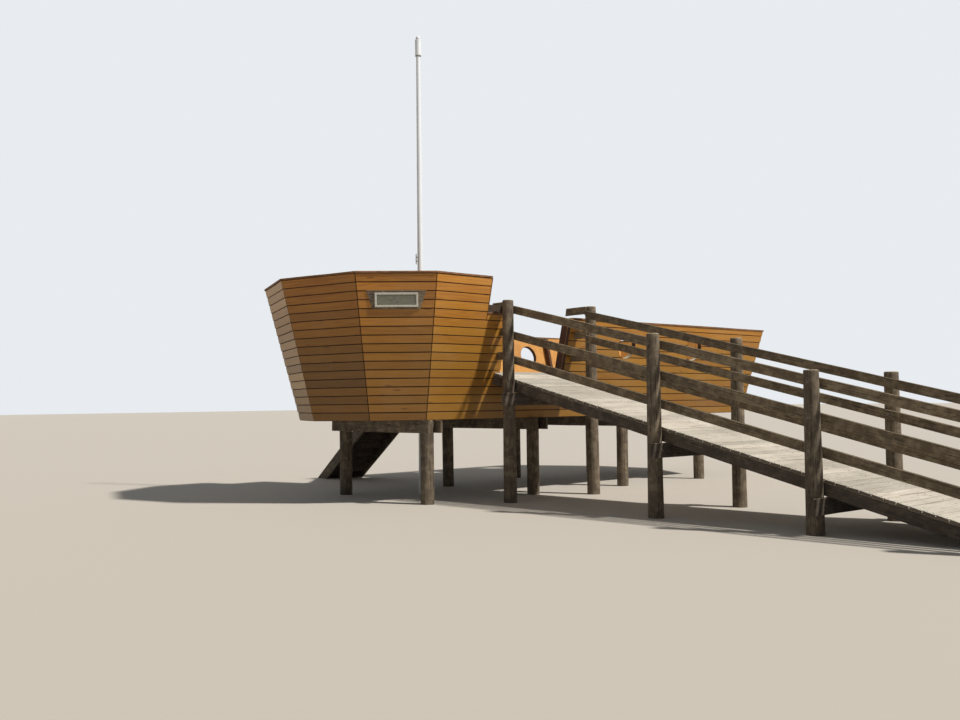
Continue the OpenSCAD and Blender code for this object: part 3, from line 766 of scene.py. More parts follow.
def wall_sheet(*names):
    """The common sheet of walls that lie in one plane, with each wall's limits.

    A limit is three numbers: its x at the foot of the outer face, and how much x changes
    with each metre up the slope and each metre outwards. shear is how far a point moves up
    the slope with each metre outwards."""
    corners, right, out = wall_corners(names[0])
    foot, top = corners[0, 0, 0], corners[1, 0, 0]
    rise = top - foot
    rise = rise - right * (rise @ right)
    slope = rise / np.linalg.norm(rise)
    normal = np.cross(right, slope)
    out = out / (out @ normal)
    sheet = SimpleNamespace(foot=foot, right=right, slope=slope, normal=normal, out=out,
                            shear=out @ slope, walls={})
    for name in names:
        (low, deep), (high, _) = wall_corners(name)[0]
        height = (high[0] - low[0]) @ slope
        thick = (low[0] - deep[0]) @ normal
        limits = np.stack([low @ right, (high - low) @ right / height,
                           (low - deep) @ right / thick], -1)
        sheet.walls[name] = SimpleNamespace(height=height, thick=thick, limits=limits)
    return sheet


def on_sheet(sheet, x, h, d):
    """World places of sheet coordinates, which may be arrays that broadcast."""
    x, h, d = np.broadcast_arrays(x, h, d)
    start = sheet.foot - sheet.right * (sheet.foot @ sheet.right)
    return (start + x[..., None] * sheet.right + h[..., None] * sheet.slope
            + d[..., None] * sheet.out)


def limit_at(limit, h, d):
    """A limit's x at a distance up the slope and a distance outwards."""
    return limit[0] + limit[1] * h + limit[2] * d


def upright(x):
    """A limit that keeps one x."""
    return np.array([x, 0.0, 0.0])


def portholes(sheet, name):
    """Centre x, centre distance up the slope, and radius of each round hole in a wall."""
    corners = all_corners(name)
    z = corners[:, 2]
    ring = corners[(z > z.min() + HOLE_CLEAR) & (z < z.max() - HOLE_CLEAR)]
    x = ring @ sheet.right
    up_slope = (ring - sheet.foot) @ sheet.slope
    order = np.argsort(x)
    groups = np.split(order, np.flatnonzero(np.diff(x[order]) > HOLE_SPACING) + 1)
    return [(middle_of(x[g]), middle_of(up_slope[g]), np.ptp(x[g]) / 2) for g in groups]


SHEETS = {side: wall_sheet(*(f"{wall}_{side}" for wall in LONG_SIDE)) for side in SIDES}
for name, wall in (("castle_front", "castle_front"), ("castle_quarter", "castle_quarter"),
                   ("bow", "bow_wall")):
    for side in SIDES:
        SHEETS[f"{name}_{side}"] = wall_sheet(f"{wall}_{side}")
HOLES = {side: portholes(SHEETS[side], f"side_wall_{side}") for side in SIDES}
print("portholes:", {side: np.round(h, 3).tolist() for side, h in HOLES.items()})

# %% [markdown]
# The boards are about 123 mm wide, with dark gaps of 15 mm, and stand 13 mm proud at their
# lower edge, so each throws a fine line of shadow on the next. Seventeen of them cover the
# castle's height, and the same rows run on round the hull. Where a row meets a porthole,
# each board ends on the circle: every point of its end outline gets the circle's x at its
# own height.

# %% Cladding boards
ROWS = 17
PITCH = SHEETS["near"].walls["castle_side_near"].height / ROWS
GAP = 0.015
SEAM = upright(0.008)
BUTT_GAP = 0.0024
FACE_D, TOP_D, BACK_D = 0.0135, 0.0095, -0.002
EDGE_EASE = 0.003
CUP, CUP_RATE = 0.0008, 2.1
PLAIN_SAMPLES, HOLE_SAMPLES = 4, 18
BELOW_RIM = 0.001
JAMB_WIDTH = 0.085
LONGEST_BOARD, SHORTEST_BOARD, FIRST_BOARD = 4.4, 0.8, 2.2
SHORTEST_PART, LOWEST_ROW = 0.01, 0.02
# Limits or tops nearer than this are one
TOUCHING = 0.001
BOARD_STEP = 0.5
opening_edge = SHEETS["near"].walls["waist_wall_near"].limits[1, 0]
# Share of each wall whose boards turn worn grey, greatest on the castle's far front face: there it
# is partly lost oil and partly painted sky light, which pales and greys that face
AGE_AND_SKY_LIGHT = {"castle_front_far": 0.95, "castle_front_near": 0.04, "castle_quarter_near": 0.04}
AGE_SPREAD = (0.7, 1.1)
# How much of their own tone the boards of a wall keep, and how far it moves to the dark: painted
# shade on the castle's near front and quarter faces, which turn away from the light
PAINTED_SHADE_TONE = {"castle_front_near": (0.5, -0.6), "castle_quarter_near": (0.7, -0.4)}


def board_outline(h0, h1, samples):
    """A board's outline as h and d: back on the wall, face leaning in towards its top."""
    face_h = np.linspace(h0 + EDGE_EASE, h1 - EDGE_EASE, samples)
    face_d = np.linspace(FACE_D, TOP_D, samples)
    h = np.r_[h0, h0, face_h, h1, h1, face_h[::-1][1:-1]]
    d = np.r_[BACK_D, FACE_D - EDGE_EASE, face_d, TOP_D - EDGE_EASE, np.full(samples - 1, BACK_D)]
    return h, d


def board(sheet, left, right, h0, h1, rng, holes):
    """Strips of one level board, cut where it meets a hole.

    left and right are limits. Between holes the board's ends follow each circle."""
    crossed = [c for c in holes if h0 < c[1] + c[2] and h1 > c[1] - c[2]
               and left[0] < c[0] < right[0]]
    h, d = board_outline(h0, h1, HOLE_SAMPLES if crossed else PLAIN_SAMPLES)
    edges = [limit_at(left, h, d)]
    for x, centre, radius in sorted(crossed):
        rise = h + d * sheet.shear - centre
        reach = np.sqrt(np.maximum(radius ** 2 - rise ** 2, 0.0))
        edges += [x - reach, x + reach]
    edges.append(limit_at(right, h, d))
    tone, shift, wave = rng.uniform(), rng.uniform(0, MAP_SHIFT), rng.uniform(0, 6)
    around = np.r_[0, np.cumsum(np.hypot(np.diff(h, append=h[0]), np.diff(d, append=d[0])))]
    strips = []
    for start, stop in zip(edges[::2], edges[1::2]):
        if (stop - start).max() < SHORTEST_PART:
            continue
        share = np.linspace(0, 1, max(2, int((stop - start).mean() / BOARD_STEP)) + 1)
        x = start + (stop - start) * share[:, None]
        cup = CUP * np.sin(x * CUP_RATE + wave) * (d > 0)
        place = grid(closed(x) + shift, around)
        strips.append(strip(on_sheet(sheet, x, h, d + cup), place, tone))
    return strips


def clad(side, seed):
    """Rows of boards over a sheet: walls that touch share boards where their tops agree."""
    sheet = SHEETS[side]
    rng = np.random.default_rng(seed)
    walls = sorted(sheet.walls.values(), key=lambda w: w.limits[0, 0])
    strips = []
    for row in range(ROWS):
        low = row * PITCH + GAP / 2
        runs = []
        for wall in walls:
            high = min((row + 1) * PITCH - GAP / 2, wall.height - BELOW_RIM)
            if high - low < LOWEST_ROW:
                continue
            touching = runs and abs(runs[-1][1][0] - wall.limits[0, 0]) < TOUCHING
            if touching and abs(runs[-1][2] - high) < TOUCHING:
                runs[-1][1] = wall.limits[1]
            else:
                runs.append([*wall.limits, high])
        for left, right, high in runs:
            at_jamb = side == "near" and abs(right[0] - opening_edge) < TOUCHING
            left, right = left + SEAM, right - SEAM + upright(JAMB_WIDTH * at_jamb)
            first = left[0] + rng.uniform(FIRST_BOARD, LONGEST_BOARD)
            bounds = [left]
            for cut in np.arange(first, right[0] - SHORTEST_BOARD, LONGEST_BOARD):
                bounds += [upright(cut - BUTT_GAP / 2), upright(cut + BUTT_GAP / 2)]
            bounds.append(right)
            for start, stop in zip(bounds[::2], bounds[1::2]):
                strips += board(sheet, start, stop, low, high, rng, HOLES.get(side, ()))
    # The near front and quarter faces take a darker tone here, which is painted shade
    share, shift = PAINTED_SHADE_TONE.get(side, (1.0, 0.0))
    for s in strips:
        # Each board takes its wall's share of worn grey, which on the castle's far front face is
        # also painted sky light
        s["age"] = AGE_AND_SKY_LIGHT.get(side, 0.0) * rng.uniform(*AGE_SPREAD)
        s["tone"] = s["tone"] * share + shift
    build(f"cladding_{side}", strips, CLADDING)


for count, side in enumerate(SHEETS):
    clad(side, 40 + count)

# %% [markdown]
# Inside, the walls are lined with smooth upright sheets. A sheet with a porthole is a strip
# that runs round the hole: its outline reaches from the circle out to the sheet's edge.

# %% Lining sheets
SHEET_WIDTH = 1.22
LINING_T = 0.006
SUNK = 0.001
HOLE_MARGIN = 0.05
HOLE_TURNS = 96
NEAREST_CUT = 0.7


def lining_strip(sheet, x, h, d, rng, loop=False):
    """A lining piece from its sheet coordinates, with the grain up the slope."""
    place = closed(grid(h, x) + rng.uniform(0, MAP_SHIFT))
    return strip(on_sheet(sheet, x, h, d), place, rng.uniform(), loop)


def lining_sheet(sheet, thick, left, right, h0, h1, rng):
    """A flat upright sheet on the inner face between two limits and two heights."""
    h = np.array([h0, h0, h1, h1])
    d = -thick - np.array([-SUNK, LINING_T, LINING_T, -SUNK])
    start, stop = limit_at(left, h, d), limit_at(right, h, d)
    return lining_strip(sheet, np.stack([start, stop]), h, d, rng)


def holed_sheet(sheet, thick, x0, x1, h0, h1, hole, rng):
    """A sheet round a hole: at each angle the outline runs from the circle to where a ray
    from the circle's middle leaves the rectangle."""
    centre_x, centre_h, radius = hole
    near, far = (x0 - centre_x, h0 - centre_h), (x1 - centre_x, h1 - centre_h)
    corner_angles = np.arctan2([near[1], near[1], far[1], far[1]],
                               [near[0], far[0], far[0], near[0]])
    angle = np.sort(np.r_[angles(HOLE_TURNS), corner_angles % (2 * np.pi)])
    ray = np.stack([np.cos(angle), np.sin(angle)], -1)
    reach = np.where(ray > 0, far, near) / np.where(np.abs(ray) < TINY, TINY, ray)
    reach = np.abs(reach).min(1)
    circle = np.full(len(angle), radius)
    distance = np.stack([circle, reach, reach, circle], 1)
    d = -thick - np.array([LINING_T, LINING_T, -SUNK, -SUNK])
    x = centre_x + distance * ray[:, :1]
    h = centre_h + distance * ray[:, 1:] - d * sheet.shear
    return lining_strip(sheet, x, h, d, rng, loop=True)


def line_walls(name, seed, sheet_name, walls, floor_z):
    """Upright sheets over the inner face of walls, from a floor level to the walls' top.

    A sheet with a hole is a piece round the hole and one on either side, of one tone."""
    sheet = SHEETS[sheet_name]
    rng = np.random.default_rng(seed)
    strips = []
    h0 = (floor_z - sheet.foot[2]) / sheet.slope[2]
    for wall_name in walls:
        wall = sheet.walls[wall_name]
        left, right = wall.limits
        thick, h1 = wall.thick, wall.height - BELOW_RIM
        holes = HOLES.get(sheet_name, ()) if wall_name.startswith("side_wall") else ()
        width = right[0] - left[0]
        cuts = np.linspace(0, width, max(1, round(width / SHEET_WIDTH)) + 1)[1:-1] + left[0]
        cuts = [c for c in cuts if all(abs(c - x) > r + HOLE_MARGIN for x, _, r in holes)]
        middles = [(a[0] + b[0]) / 2 for a, b in zip(holes[:-1], holes[1:])]
        cuts += [m for m in middles if all(abs(c - m) > NEAREST_CUT for c in cuts)]
        bounds = [left, *map(upright, sorted(cuts)), right]
        for start, stop in zip(bounds[:-1], bounds[1:]):
            one, spans = [], [(start, stop)]
            hole = next((c for c in holes if start[0] < c[0] < stop[0]), None)
            if hole:
                x0, x1 = hole[0] - hole[2] - HOLE_MARGIN, hole[0] + hole[2] + HOLE_MARGIN
                one.append(holed_sheet(sheet, thick, x0, x1, h0, h1, hole, rng))
                spans = [(start, upright(x0)), (upright(x1), stop)]
            one += [lining_sheet(sheet, thick, a, b, h0, h1, rng) for a, b in spans]
            strips += [{**part, "tone": one[0]["tone"]} for part in one]
    build(name, strips, LINING)


deck_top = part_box("main_deck")[1][2]
castle_deck_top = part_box("castle_deck")[1][2]
linings = (("", "", ("waist_wall", "side_wall"), deck_top),
           ("bow_", "bow_", ("bow_wall",), deck_top),
           ("castle_front_", "castle_front_", ("castle_front",), castle_deck_top),
           ("castle_quarter_", "castle_quarter_", ("castle_quarter",), castle_deck_top),
           ("castle_", "", ("castle_side",), castle_deck_top))
for count, (name, sheet_name, walls, floor_z) in enumerate(linings):
    for far, side in enumerate(SIDES):
        line_walls(f"lining_{name}{side}", 61 + 2 * count + far, sheet_name + side,
                   [f"{wall}_{side}" for wall in walls], floor_z)

# %% [markdown]
# A deck is a row of boards with gaps that let the rain through. The boards of the hull's
# floors run along the ship and end on its walls; the ramp's run across it, so that a foot
# finds an edge at every step.

# %% Deck boards
DECK_EASE = 0.005
FLOOR_BOW, RAMP_BOW = 0.0008, 0.0012


def floor_boards(node, seed):
    """Boards along X: each of the frame's boards gives its two edges and where they end."""
    rng = np.random.default_rng(seed)
    strips = []
    for corners in solids(node):
        (_, y0, z0), (_, y1, z1) = corners.min(0), corners.max(0)
        top = corners[corners[:, 2] > z1 - SAME]
        edges = [top[np.abs(top[:, 1] - y) < SAME][:, 0] for y in (y0, y1)]
        outlines = [[(a, y0, z0), (b, y1, z0), (b, y1, z1), (a, y0, z1)]
                    for a, b in ([e.min() for e in edges], [e.max() for e in edges])]
        strips.append(timber(np.array(outlines), rng, DECK_EASE, FLOOR_BOW))
    build(node + "_boards", strips, DECK, [node])


floor_boards("main_deck", 71)
floor_boards("castle_deck", 72)
timbers("ramp_deck", 73, DECK, DECK_EASE, RAMP_BOW)

# %% [markdown]
# The posts are round logs, set in the ground. A log is not a cylinder: it is a little oval,
# it wanders, and as it dries it opens in long splits. Its radius is a function of the
# angle and the height, so all of that is one sum.

# %% Log posts
LOG_TURNS = 96
LOG_RINGS, FIRST_RING = 70, 0.01
LOG_BEVEL, BEVEL_START = 0.012, 0.35
LOG_SPLITS = 5
SPLIT_ANGLE = 0.042
SPLIT_DRIFT, DRIFT_RATE = 0.12, 1.7
SPLIT_FOOT = 0.3
SPLIT_REACH, SPLIT_DEPTH = (0.35, 1.1), (0.006, 0.011)
SPLIT_FADE = 0.6
LOG_SWAY, SWAY_X, SWAY_Y = 0.004, 1.3, 1.1
# Waves in a log's radius: their share of it, turns round the log and rate up it
LOG_WAVES = ((0.016, 2, 0.3), (0.009, 3, 1.1), (0.004, 7, 0), (0.003, 13, 0), (0.004, 1, 9))
FOOT_BAND, HEAD_BAND = 0.01, 0.02


def log(centre, foot_radius, top_radius, z0, z1, rng):
    """A log: a radius that tapers with height, times slow waves in angle and height, less
    the splits.

    A split is a narrow valley at an angle that drifts with height, and it fades at both
    of its ends. The top is bevelled over a few rings and closed by its end grain."""
    z = np.linspace(z0 + FIRST_RING, z1 - LOG_BEVEL, LOG_RINGS)
    z = np.r_[z0, z, z1 - LOG_BEVEL / 2, z1]
    angle = angles(LOG_TURNS)
    a, height = np.meshgrid(angle, z)
    phase = rng.uniform(0, 2 * np.pi, 8)
    shape = 1
    for (size, turns, rate), start in zip(LOG_WAVES, phase):
        shape = shape + size * np.sin(turns * a + start + rate * height)
    depth = np.zeros_like(a)
    for _ in range(LOG_SPLITS):
        where = rng.uniform(0, 2 * np.pi)
        where = where + SPLIT_DRIFT * np.sin(DRIFT_RATE * height + rng.uniform(0, 6))
        middle, reach = rng.uniform(z0 + SPLIT_FOOT, z1), rng.uniform(*SPLIT_REACH)
        away = (a - where + np.pi) % (2 * np.pi) - np.pi
        fade = np.clip(1 - np.abs(height - middle) / reach, 0, 1) ** SPLIT_FADE
        valley = np.exp(-(away / SPLIT_ANGLE) ** 2) * fade * rng.uniform(*SPLIT_DEPTH)
        depth = np.maximum(depth, valley)
    r = np.interp(height, [z0, z1], [foot_radius, top_radius]) * shape - depth
    r[-2] = r[-2] - LOG_BEVEL * BEVEL_START
    r[-1] = r[-1] - LOG_BEVEL
    x = centre[0] + r * np.cos(a) + LOG_SWAY * np.sin(height * SWAY_X + phase[5])
    y = centre[1] + r * np.sin(a) + LOG_SWAY * np.sin(height * SWAY_Y + phase[6])
    around = np.r_[angle, 2 * np.pi] * foot_radius
    place = grid(z[:, None] + rng.uniform(0, MAP_SHIFT), around)
    return strip(np.stack([x, y, height], -1), place, rng.uniform())


def post_shape(corners):
    """A post's middle at its foot, the radii of its foot and head, and its two heights."""
    low, high = corners[:, 2].min(), corners[:, 2].max()
    foot = corners[corners[:, 2] < low + FOOT_BAND]
    head = corners[corners[:, 2] > high - HEAD_BAND]
    return middle_of(foot), np.ptp(foot[:, 1]) / 2, np.ptp(head[:, 1]) / 2, low, high


for count, node in enumerate(("hull_posts", "ramp_posts_near", "ramp_posts_far")):
    rng = np.random.default_rng(81 + count)
    build(node + "_logs", [log(*post_shape(corners), rng) for corners in solids(node)], GREY,
          [node], smooth=True)

# %% [markdown]
# A wall that stops at an opening shows the edge of its boards, so a carpenter closes it with
# an upright piece. Here that is one timber behind the boards beside the ramp, and thin end
# boards where the castle's sides rise above the waist. Each is a sheet block: two outlines
# in the wall's own coordinates.

# %% Upright pieces at the walls' ends
END_BOARD_T = 0.012
END_ROOM = 0.002
END_EASE = 0.003
JAMB_IN = 0.006
ABOVE_WAIST = 0.05
# Two faces that would lie in one plane keep this far apart
APART = 0.0005


def sheet_block(sheet, left, right, h0, h1, d0, d1):
    """The two end outlines of a block that lies in a wall's own coordinates.

    left and right are limits, so that they may lean with the wall's ends."""
    h, d = np.array([[h0], [h1]]), np.array([d0, d0, d1, d1])
    x = np.where([True, False, False, True], limit_at(left, h, d), limit_at(right, h, d))
    return on_sheet(sheet, x, h, d)


rng = np.random.default_rng(90)
near = SHEETS["near"].walls
waist, sill = near["waist_wall_near"], near["sill_wall_near"]
beside = waist.limits[1]
jamb = sheet_block(SHEETS["near"], beside, beside + upright(JAMB_WIDTH - JAMB_IN),
                   sill.height + END_ROOM, waist.height - END_ROOM,
                   -waist.thick, BACK_D - APART)
build("opening_jamb", [timber(jamb, rng, END_EASE, bow=0.0)], LINING)

end_boards = []
for side, end, way in (("near", 1, 1.0), ("far", 0, -1.0)):
    walls = SHEETS[side].walls
    castle = walls[f"castle_side_{side}"]
    edge = castle.limits[end]
    first, second = sorted((edge, edge + upright(way * END_BOARD_T)), key=lambda limit: limit[0])
    low = walls[f"waist_wall_{side}"].height + ABOVE_WAIST
    block = sheet_block(SHEETS[side], first, second, low, castle.height - END_ROOM,
                        -castle.thick - LINING_T, FACE_D)
    end_boards.append(timber(block, rng, END_EASE, bow=0.0))
build("castle_end_boards", end_boards, CAP)

# %% [markdown]
# A porthole is a round hole through boards, wall and lining, and its raw edge is covered by
# a bent strip. That is an outline of four points, two deep and two shallow, carried once
# round the circle, with the same shear as the hole, so that it stays inside it.

# %% Porthole reveals
REVEAL_T = 0.006
REVEAL_TURNS = 72
REVEAL_AROUND = np.array([0.0, 0.006, 0.1, 0.106, 0.2])


def reveal(sheet, thick, hole, rng):
    """A closed band inside a round hole: a point at an angle lies at the circle's radius,
    less the band's thickness on its inner side, at the depth of the front or the back."""
    centre_x, centre_h, radius = hole
    angle = angles(REVEAL_TURNS)[:, None]
    r = radius - np.array([REVEAL_T, APART, APART, REVEAL_T])
    d = np.array([FACE_D, FACE_D, -thick - LINING_T, -thick - LINING_T])
    x = centre_x + r * np.cos(angle)
    h = centre_h + r * np.sin(angle) - d * sheet.shear
    place = grid(angle * radius, REVEAL_AROUND) + rng.uniform(0, MAP_SHIFT)
    return strip(on_sheet(sheet, x, h, d), place, rng.uniform(), loop=True)


bands = [reveal(SHEETS[side], SHEETS[side].walls[f"side_wall_{side}"].thick, hole, rng)
         for side in SIDES for hole in HOLES[side]]
build("porthole_reveals", bands, BROWN, smooth=True)

# %% [markdown]
# A mast is turned, and anything turned is a profile of radii and heights spun about an
# upright line. The profile of the pole is read from the frame; the head's has an eased
# sleeve, a neck and a ball, whose radii follow the cosine of an angle up to its top.

# %% Mast, head and rings
MAST_TURNS = 48
MAST_RINGS = 60
BALL_RADIUS, BALL_LIFT, BALL_RINGS = 0.042, 0.0002, 18
NECK_DROP, TIP_ANGLE = 0.667, 0.04
SLEEVE_EASE, SHOULDER_IN, SHOULDER_DROP = 0.004, 0.005, 0.006
# A ring starts this far inside the part it clasps, ends this far out from the neck or in
# from the sleeve's side, and is this high
NECK_RING, POLE_RING = (0.004, 0.010, 0.007), (0.002, 0.003, 0.010)


def turned(radii, heights, rng, loop=False):
    """A profile of radii and heights spun about the mast's line, ring by ring upwards.

    As a loop, the profile itself is closed, and its rings follow the angle instead."""
    a, r = np.meshgrid(angles(MAST_TURNS), radii, indexing="ij")
    rings = np.stack([r * np.cos(a), r * np.sin(a), np.broadcast_to(heights, a.shape)], -1)
    if not loop:
        rings = rings.swapaxes(0, 1)
    return strip(rings, long_map(rings), rng.uniform(), loop)


pole = all_corners("mast")
levels = np.unique(np.round(pole[:, 2], 3))
sizes = [np.hypot(*pole[np.abs(pole[:, 2] - z) < SAME][:, :2].T).max() for z in levels]
heights = np.unique(np.r_[np.linspace(levels[0], levels[-1], MAST_RINGS), levels])
build("mast_pole", [turned(np.interp(heights, levels, sizes), heights, rng)], PAINT,
      ["mast"], smooth=True)

(_, _, sleeve_low), (sleeve, _, head_top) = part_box("mast_head")
ball_middle = head_top - BALL_RADIUS
sleeve_top = ball_middle - NECK_DROP * BALL_RADIUS
lift = np.linspace(-math.asin(NECK_DROP), math.pi / 2 - TIP_ANGLE, BALL_RINGS)
head_radii = np.r_[sleeve - SLEEVE_EASE, sleeve, sleeve, sleeve - SHOULDER_IN,
                   BALL_RADIUS * np.cos(lift)]
head_heights = np.r_[sleeve_low, sleeve_low + SLEEVE_EASE, sleeve_top - SHOULDER_DROP,
                     sleeve_top, ball_middle + BALL_RADIUS * np.sin(lift) + BALL_LIFT]
build("mast_head_turned", [turned(head_radii, head_heights, rng)], PAINT,
      ["mast_head"], smooth=True)
neck = BALL_RADIUS * math.cos(lift[0])
rings = [turned([r0, r1, r1, r0], [z0, z0, z1, z1], rng, loop=True) for r0, r1, z0, z1 in (
    (neck - NECK_RING[0], neck + NECK_RING[1], sleeve_top, sleeve_top + NECK_RING[2]),
    (sizes[-1] - POLE_RING[0], sleeve - POLE_RING[1], sleeve_low - POLE_RING[2], sleeve_low))]
build("mast_rings", rings, ZINC, smooth=True)

# %% [markdown]
# The cleat on the mast is a bar with two horns on two short feet. Bar and feet are ellipses
# carried along a line, and only their two half widths change on the way.

# %% Cleat
CLEAT_TURNS = 16
BAR_HALF = 0.0095
FOOT_SHARE = 0.18
HORN_TIP, BAR_RINGS = 0.35, 15
FOOT_WIDTHS, FOOT_THICKNESSES = [0.007, 0.008, 0.012], [0.006, 0.007, 0.0095]
X_WAY, Y_WAY = np.array([1.0, 0.0, 0.0]), np.array([0.0, 1.0, 0.0])


def tapered(start, stop, wide_way, thick_way, widths, thicknesses, rng):
    """Ellipses along a line: their half widths follow the two lists from end to end."""
    share = np.linspace(0, 1, len(widths))[:, None, None]
    angle = angles(CLEAT_TURNS)[None, :, None]
    centres = np.asarray(start) + (np.asarray(stop) - np.asarray(start)) * share
    ellipses = (centres + np.asarray(widths)[:, None, None] * np.cos(angle) * wide_way
                + np.asarray(thicknesses)[:, None, None] * np.sin(angle) * thick_way)
    return strip(ellipses, long_map(ellipses), rng.uniform())


low, high = (np.array(corner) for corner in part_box("mast_cleat"))
bar_x = low[0] + BAR_HALF
_, middle_y, middle_z = (low + high) / 2
share = np.linspace(-1, 1, BAR_RINGS)
horn = HORN_TIP + (1 - HORN_TIP) * np.sqrt(np.maximum(1 - np.abs(share) ** 3, 0.0))
cleat = [tapered([bar_x, middle_y, low[2]], [bar_x, middle_y, high[2]], X_WAY, Y_WAY,
                 BAR_HALF * horn, BAR_HALF * horn, rng)]
foot_gap = (high[2] - low[2]) * FOOT_SHARE
for z in (middle_z - foot_gap, middle_z + foot_gap):
    cleat.append(tapered([bar_x, middle_y, z], [high[0], middle_y, z], UP, Y_WAY,
                         FOOT_WIDTHS, FOOT_THICKNESSES, rng))
build("cleat", cleat, ZINC, ["mast_cleat"], smooth=True)

# %% [markdown]
# The sign is a plain painted field in a raised frame, with mitred corners, on a dark
# backing. The frame is one outline carried through four corners; at each the outline lies
# on the mitre, because its distance in from the edge counts both ways.

# %% Sign
FRAME_WIDTH = 0.030
FRAME_RISE = 0.006
FRAME_EASE, FRAME_BEVEL = 0.003, 0.004
FIELD_TUCK, FIELD_EASE = 0.001, 0.001


def frame_strip(sheet, x0, x1, h0, h1, d0, d1, rng):
    """A mitred frame: a point's distance in from the edge moves it both along and up."""
    inward = np.array([0.0, 0.0, FRAME_BEVEL, FRAME_WIDTH - FRAME_BEVEL,
                       FRAME_WIDTH, FRAME_WIDTH])
    d = np.array([d0, d1 - FRAME_EASE, d1, d1, d1 - FRAME_EASE, d0])
    corner_x = np.array([1.0, -1.0, -1.0, 1.0])[:, None]
    corner_h = np.array([1.0, 1.0, -1.0, -1.0])[:, None]
    x = np.where(corner_x > 0, x0, x1) + corner_x * inward
    h = np.where(corner_h > 0, h0, h1) + corner_h * inward
    mitres = on_sheet(sheet, x, h, d)
    return strip(mitres, long_map(mitres), rng.uniform(), loop=True)


panel = SHEETS["castle_quarter_near"]
sign_corners = all_corners("sign_board")
x = sign_corners @ panel.right
d = (sign_corners - panel.foot) @ panel.normal
h = (sign_corners - panel.foot) @ panel.slope - d * panel.shear
x0, x1, h0, h1, d0, d1 = x.min(), x.max(), h.min(), h.max(), d.min(), d.max()
print("sign:", np.round([x1 - x0, h1 - h0, d1 - d0], 3).tolist())
build("sign_frame", [frame_strip(panel, x0, x1, h0, h1, d0, d1, rng)], SIGN_FRAME,
      ["sign_board"])
inset = FRAME_WIDTH - FIELD_TUCK
field = sheet_block(panel, upright(x0 + inset), upright(x1 - inset), h0 + inset, h1 - inset,
                    d0, d1 - FRAME_RISE)
build("sign_field", [timber(field, rng, FIELD_EASE, bow=0.0)], SIGN_FIELD)

# %% [markdown]
# Bolts hold the rails and planks to the posts. A head is a turned shape too, but its line
# points out of the timber: a flat washer, a straight side and a domed top, as a profile of
# radii and rises along that line.

# %% Bolts
BOLT = np.array([[0.021, 0.021, 0.0125, 0.0125, 0.0095, 0.001],
                 [-0.004, 0.003, 0.003, 0.008, 0.0105, 0.012]])
BOLT_TURNS = 12
BOLT_SUNK = 0.003
POST_REACH = 0.3


def head(at, way, side, profile, turns, rng):
    """A turned head: a profile's radii and rises about a line that leaves the timber."""
    angle = angles(turns)[None, :, None]
    circle = np.cos(angle) * side + np.sin(angle) * np.cross(way, side)
    radii, rises = profile[:, :, None, None]
    rings = at + rises * way + radii * circle
    return strip(rings, long_map(rings), rng.uniform())


def bolt(at, way, rng):
    """A washer and a domed head on a line that leaves the timber at a point."""
    side = np.cross(way, UP) / np.linalg.norm(np.cross(way, UP))
    return head(np.array(at), np.array(way, float), side, BOLT, BOLT_TURNS, rng)


bolts = []
for side, way in (("near", -1.0), ("far", 1.0)):
    rails = [stations_along_y(rail_parts(r)[1]) for r in solids(f"ramp_rails_{side}")]
    for post in solids(f"ramp_posts_{side}"):
        x, y, _ = middle_of(post)
        _, foot_radius, top_radius, low, high = post_shape(post)
        for rail in rails:
            line = rail.mean(1)
            z = np.interp(y, line[:, 1], line[:, 2])
            radius = np.interp(z, [low, high], [foot_radius, top_radius])
            outer = x + way * (radius - BOLT_SUNK)
            inner = rail[:, :, 0].max() if way < 0 else rail[:, :, 0].min()
            bolts.append(bolt([outer, y, z], [way, 0, 0], rng))
            bolts.append(bolt([inner, y, z], [-way, 0, 0], rng))
posts_x = [middle_of(all_corners(f"ramp_posts_{side}"))[0] for side in SIDES]
for plank in solids("ramp_cross_beams"):
    for x in posts_x:
        bolts.append(bolt([x, plank[:, 1].min(), middle_of(plank)[2]], [0, -1, 0], rng))
for post in solids("hull_posts"):
    x, y, _ = middle_of(post)
    for beam in solids("cross_beams"):
        away = middle_of(beam)[0] - x
        if abs(away) < POST_REACH:
            face = beam[:, 0].max() if away > 0 else beam[:, 0].min()
            bolts.append(bolt([face, y, middle_of(beam)[2]], [np.sign(away), 0, 0], rng))
build("bolts", bolts, ZINC, smooth=True)

# %% [markdown]
# Every board of the ramp is screwed to the stringers, two screws to each. A board's thinnest
# direction is the way its screws go in, and its next thinnest is the way the pair is spread.

# %% Ramp screws
SCREW = np.array([[0.0055, 0.0055, 0.004, 0.0005], [-0.003, 0.0004, 0.0012, 0.0014]])
SCREW_TURNS = 8
# Where the pair lies, as shares of half a board's width from its middle
SCREW_SHARES = (-0.5, 0.5)

stringers_x = [middle_of(part)[0] for part in solids("ramp_stringers")]
screws = []
for corners in solids("ramp_deck"):
    middle = corners.mean(0)
    _, _, (_, spread, thin) = np.linalg.svd(corners - middle, full_matrices=False)
    thin = thin * np.sign(thin[2])
    top, half = (((corners - middle) @ way).max() for way in (thin, spread))
    for x in stringers_x:
        if abs(x - middle[0]) < np.ptp(corners[:, 0]) / 2:
            for share in SCREW_SHARES:
                at = middle + upright(x - middle[0]) + thin * top + spread * half * share
                screws.append(head(at, thin, spread, SCREW, SCREW_TURNS, rng))
build("ramp_screws", screws, ZINC, smooth=True)
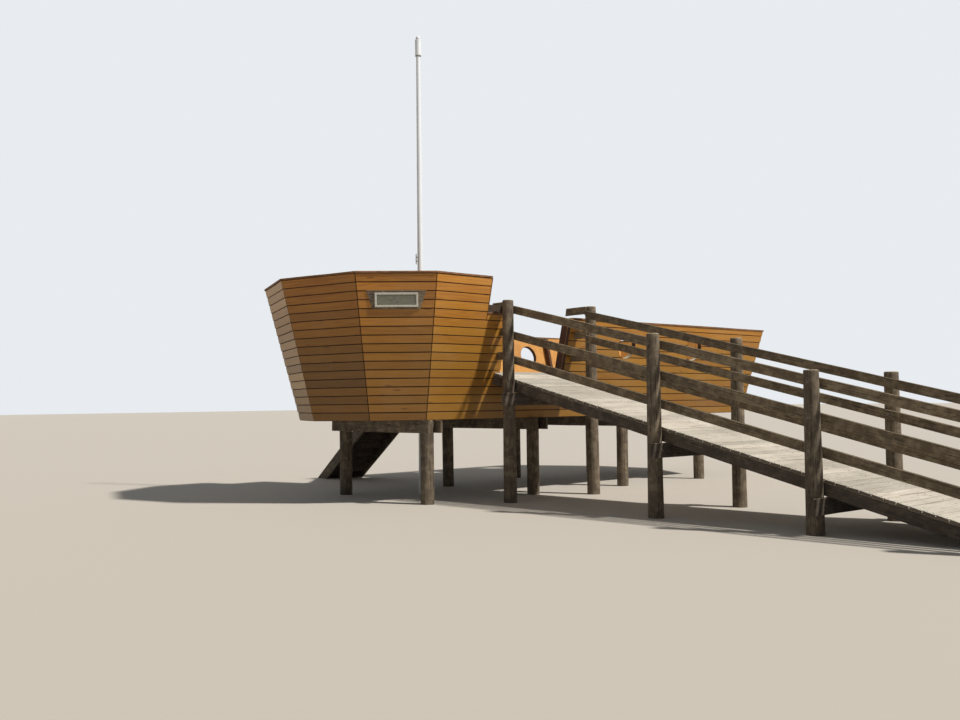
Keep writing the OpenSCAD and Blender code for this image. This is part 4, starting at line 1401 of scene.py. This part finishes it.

# %% [markdown]
# The walls' cores keep the frame's own shape and show only in the joints between boards, where
# their near black is painted shade. The clamp that holds the mast is metal, and keeps its shape
# too.

# %% Finishes on the frame's own pieces
for name, piece in nodes.items():
    piece.data.materials.clear()
    piece.data.materials.append(ZINC if name == "mast_clamp" else CORE)

# %% [markdown]
# The object stands on a plain pale floor under soft light. The strongest light comes from
# the right and behind the camera, as the sun does in the photograph, so the long side
# is bright and the castle's turned faces fall into shade.

# %% Floor and light
FLOOR_HALF = 250.0
SOFT_COLOUR, SOFT_STRENGTH = (0.90, 0.93, 0.97, 1.0), 0.16
SUN_COLOUR, SUN_STRENGTH = (1.0, 0.95, 0.88), 3.8
SUN_SPREAD, SUN_AZIMUTH, SUN_HEIGHT = np.radians([3.0, -65.0, 46.0])

floor_mesh = bpy.data.meshes.new("floor")
floor_mesh.from_pydata([(x * FLOOR_HALF, y * FLOOR_HALF, 0)
                        for x, y in ((-1, -1), (1, -1), (1, 1), (-1, 1))], [], [(0, 1, 2, 3)])
floor = add_object("floor", floor_mesh)
floor_mesh.materials.append(Shader("floor").finish(rgb(202, 196, 186), 0.9))

world = bpy.data.worlds.new("studio")
bpy.context.scene.world = world
world.use_nodes = True
world.node_tree.nodes.clear()
sky = Shader("sky", world.node_tree)
seen, glossy, through = (sky.node("ShaderNodeLightPath", output=ray) for ray in
                         ("Is Camera Ray", "Is Glossy Ray", "Is Transmission Ray"))
backdrop = seen.math("MAXIMUM", glossy.math("MAXIMUM", through))
soft = sky.node("ShaderNodeBackground", None, {"Color": SOFT_COLOUR, "Strength": SOFT_STRENGTH})
pale = sky.node("ShaderNodeBackground", None, {"Color": rgb(232, 236, 240), "Strength": 1.0})
mixed = sky.node("ShaderNodeMixShader", None, {0: backdrop, 1: soft, 2: pale})
sky.node("ShaderNodeOutputWorld", None, {"Surface": mixed}, output=None)

sun_data = bpy.data.lights.new("key", "SUN")
sun_data.energy = SUN_STRENGTH
sun_data.angle = SUN_SPREAD
sun_data.color = SUN_COLOUR
sun = add_object("key", sun_data)
sun.rotation_euler = (math.pi / 2 - SUN_HEIGHT, 0, SUN_AZIMUTH + math.pi / 2)

bpy.context.scene.view_settings.view_transform = "Standard"
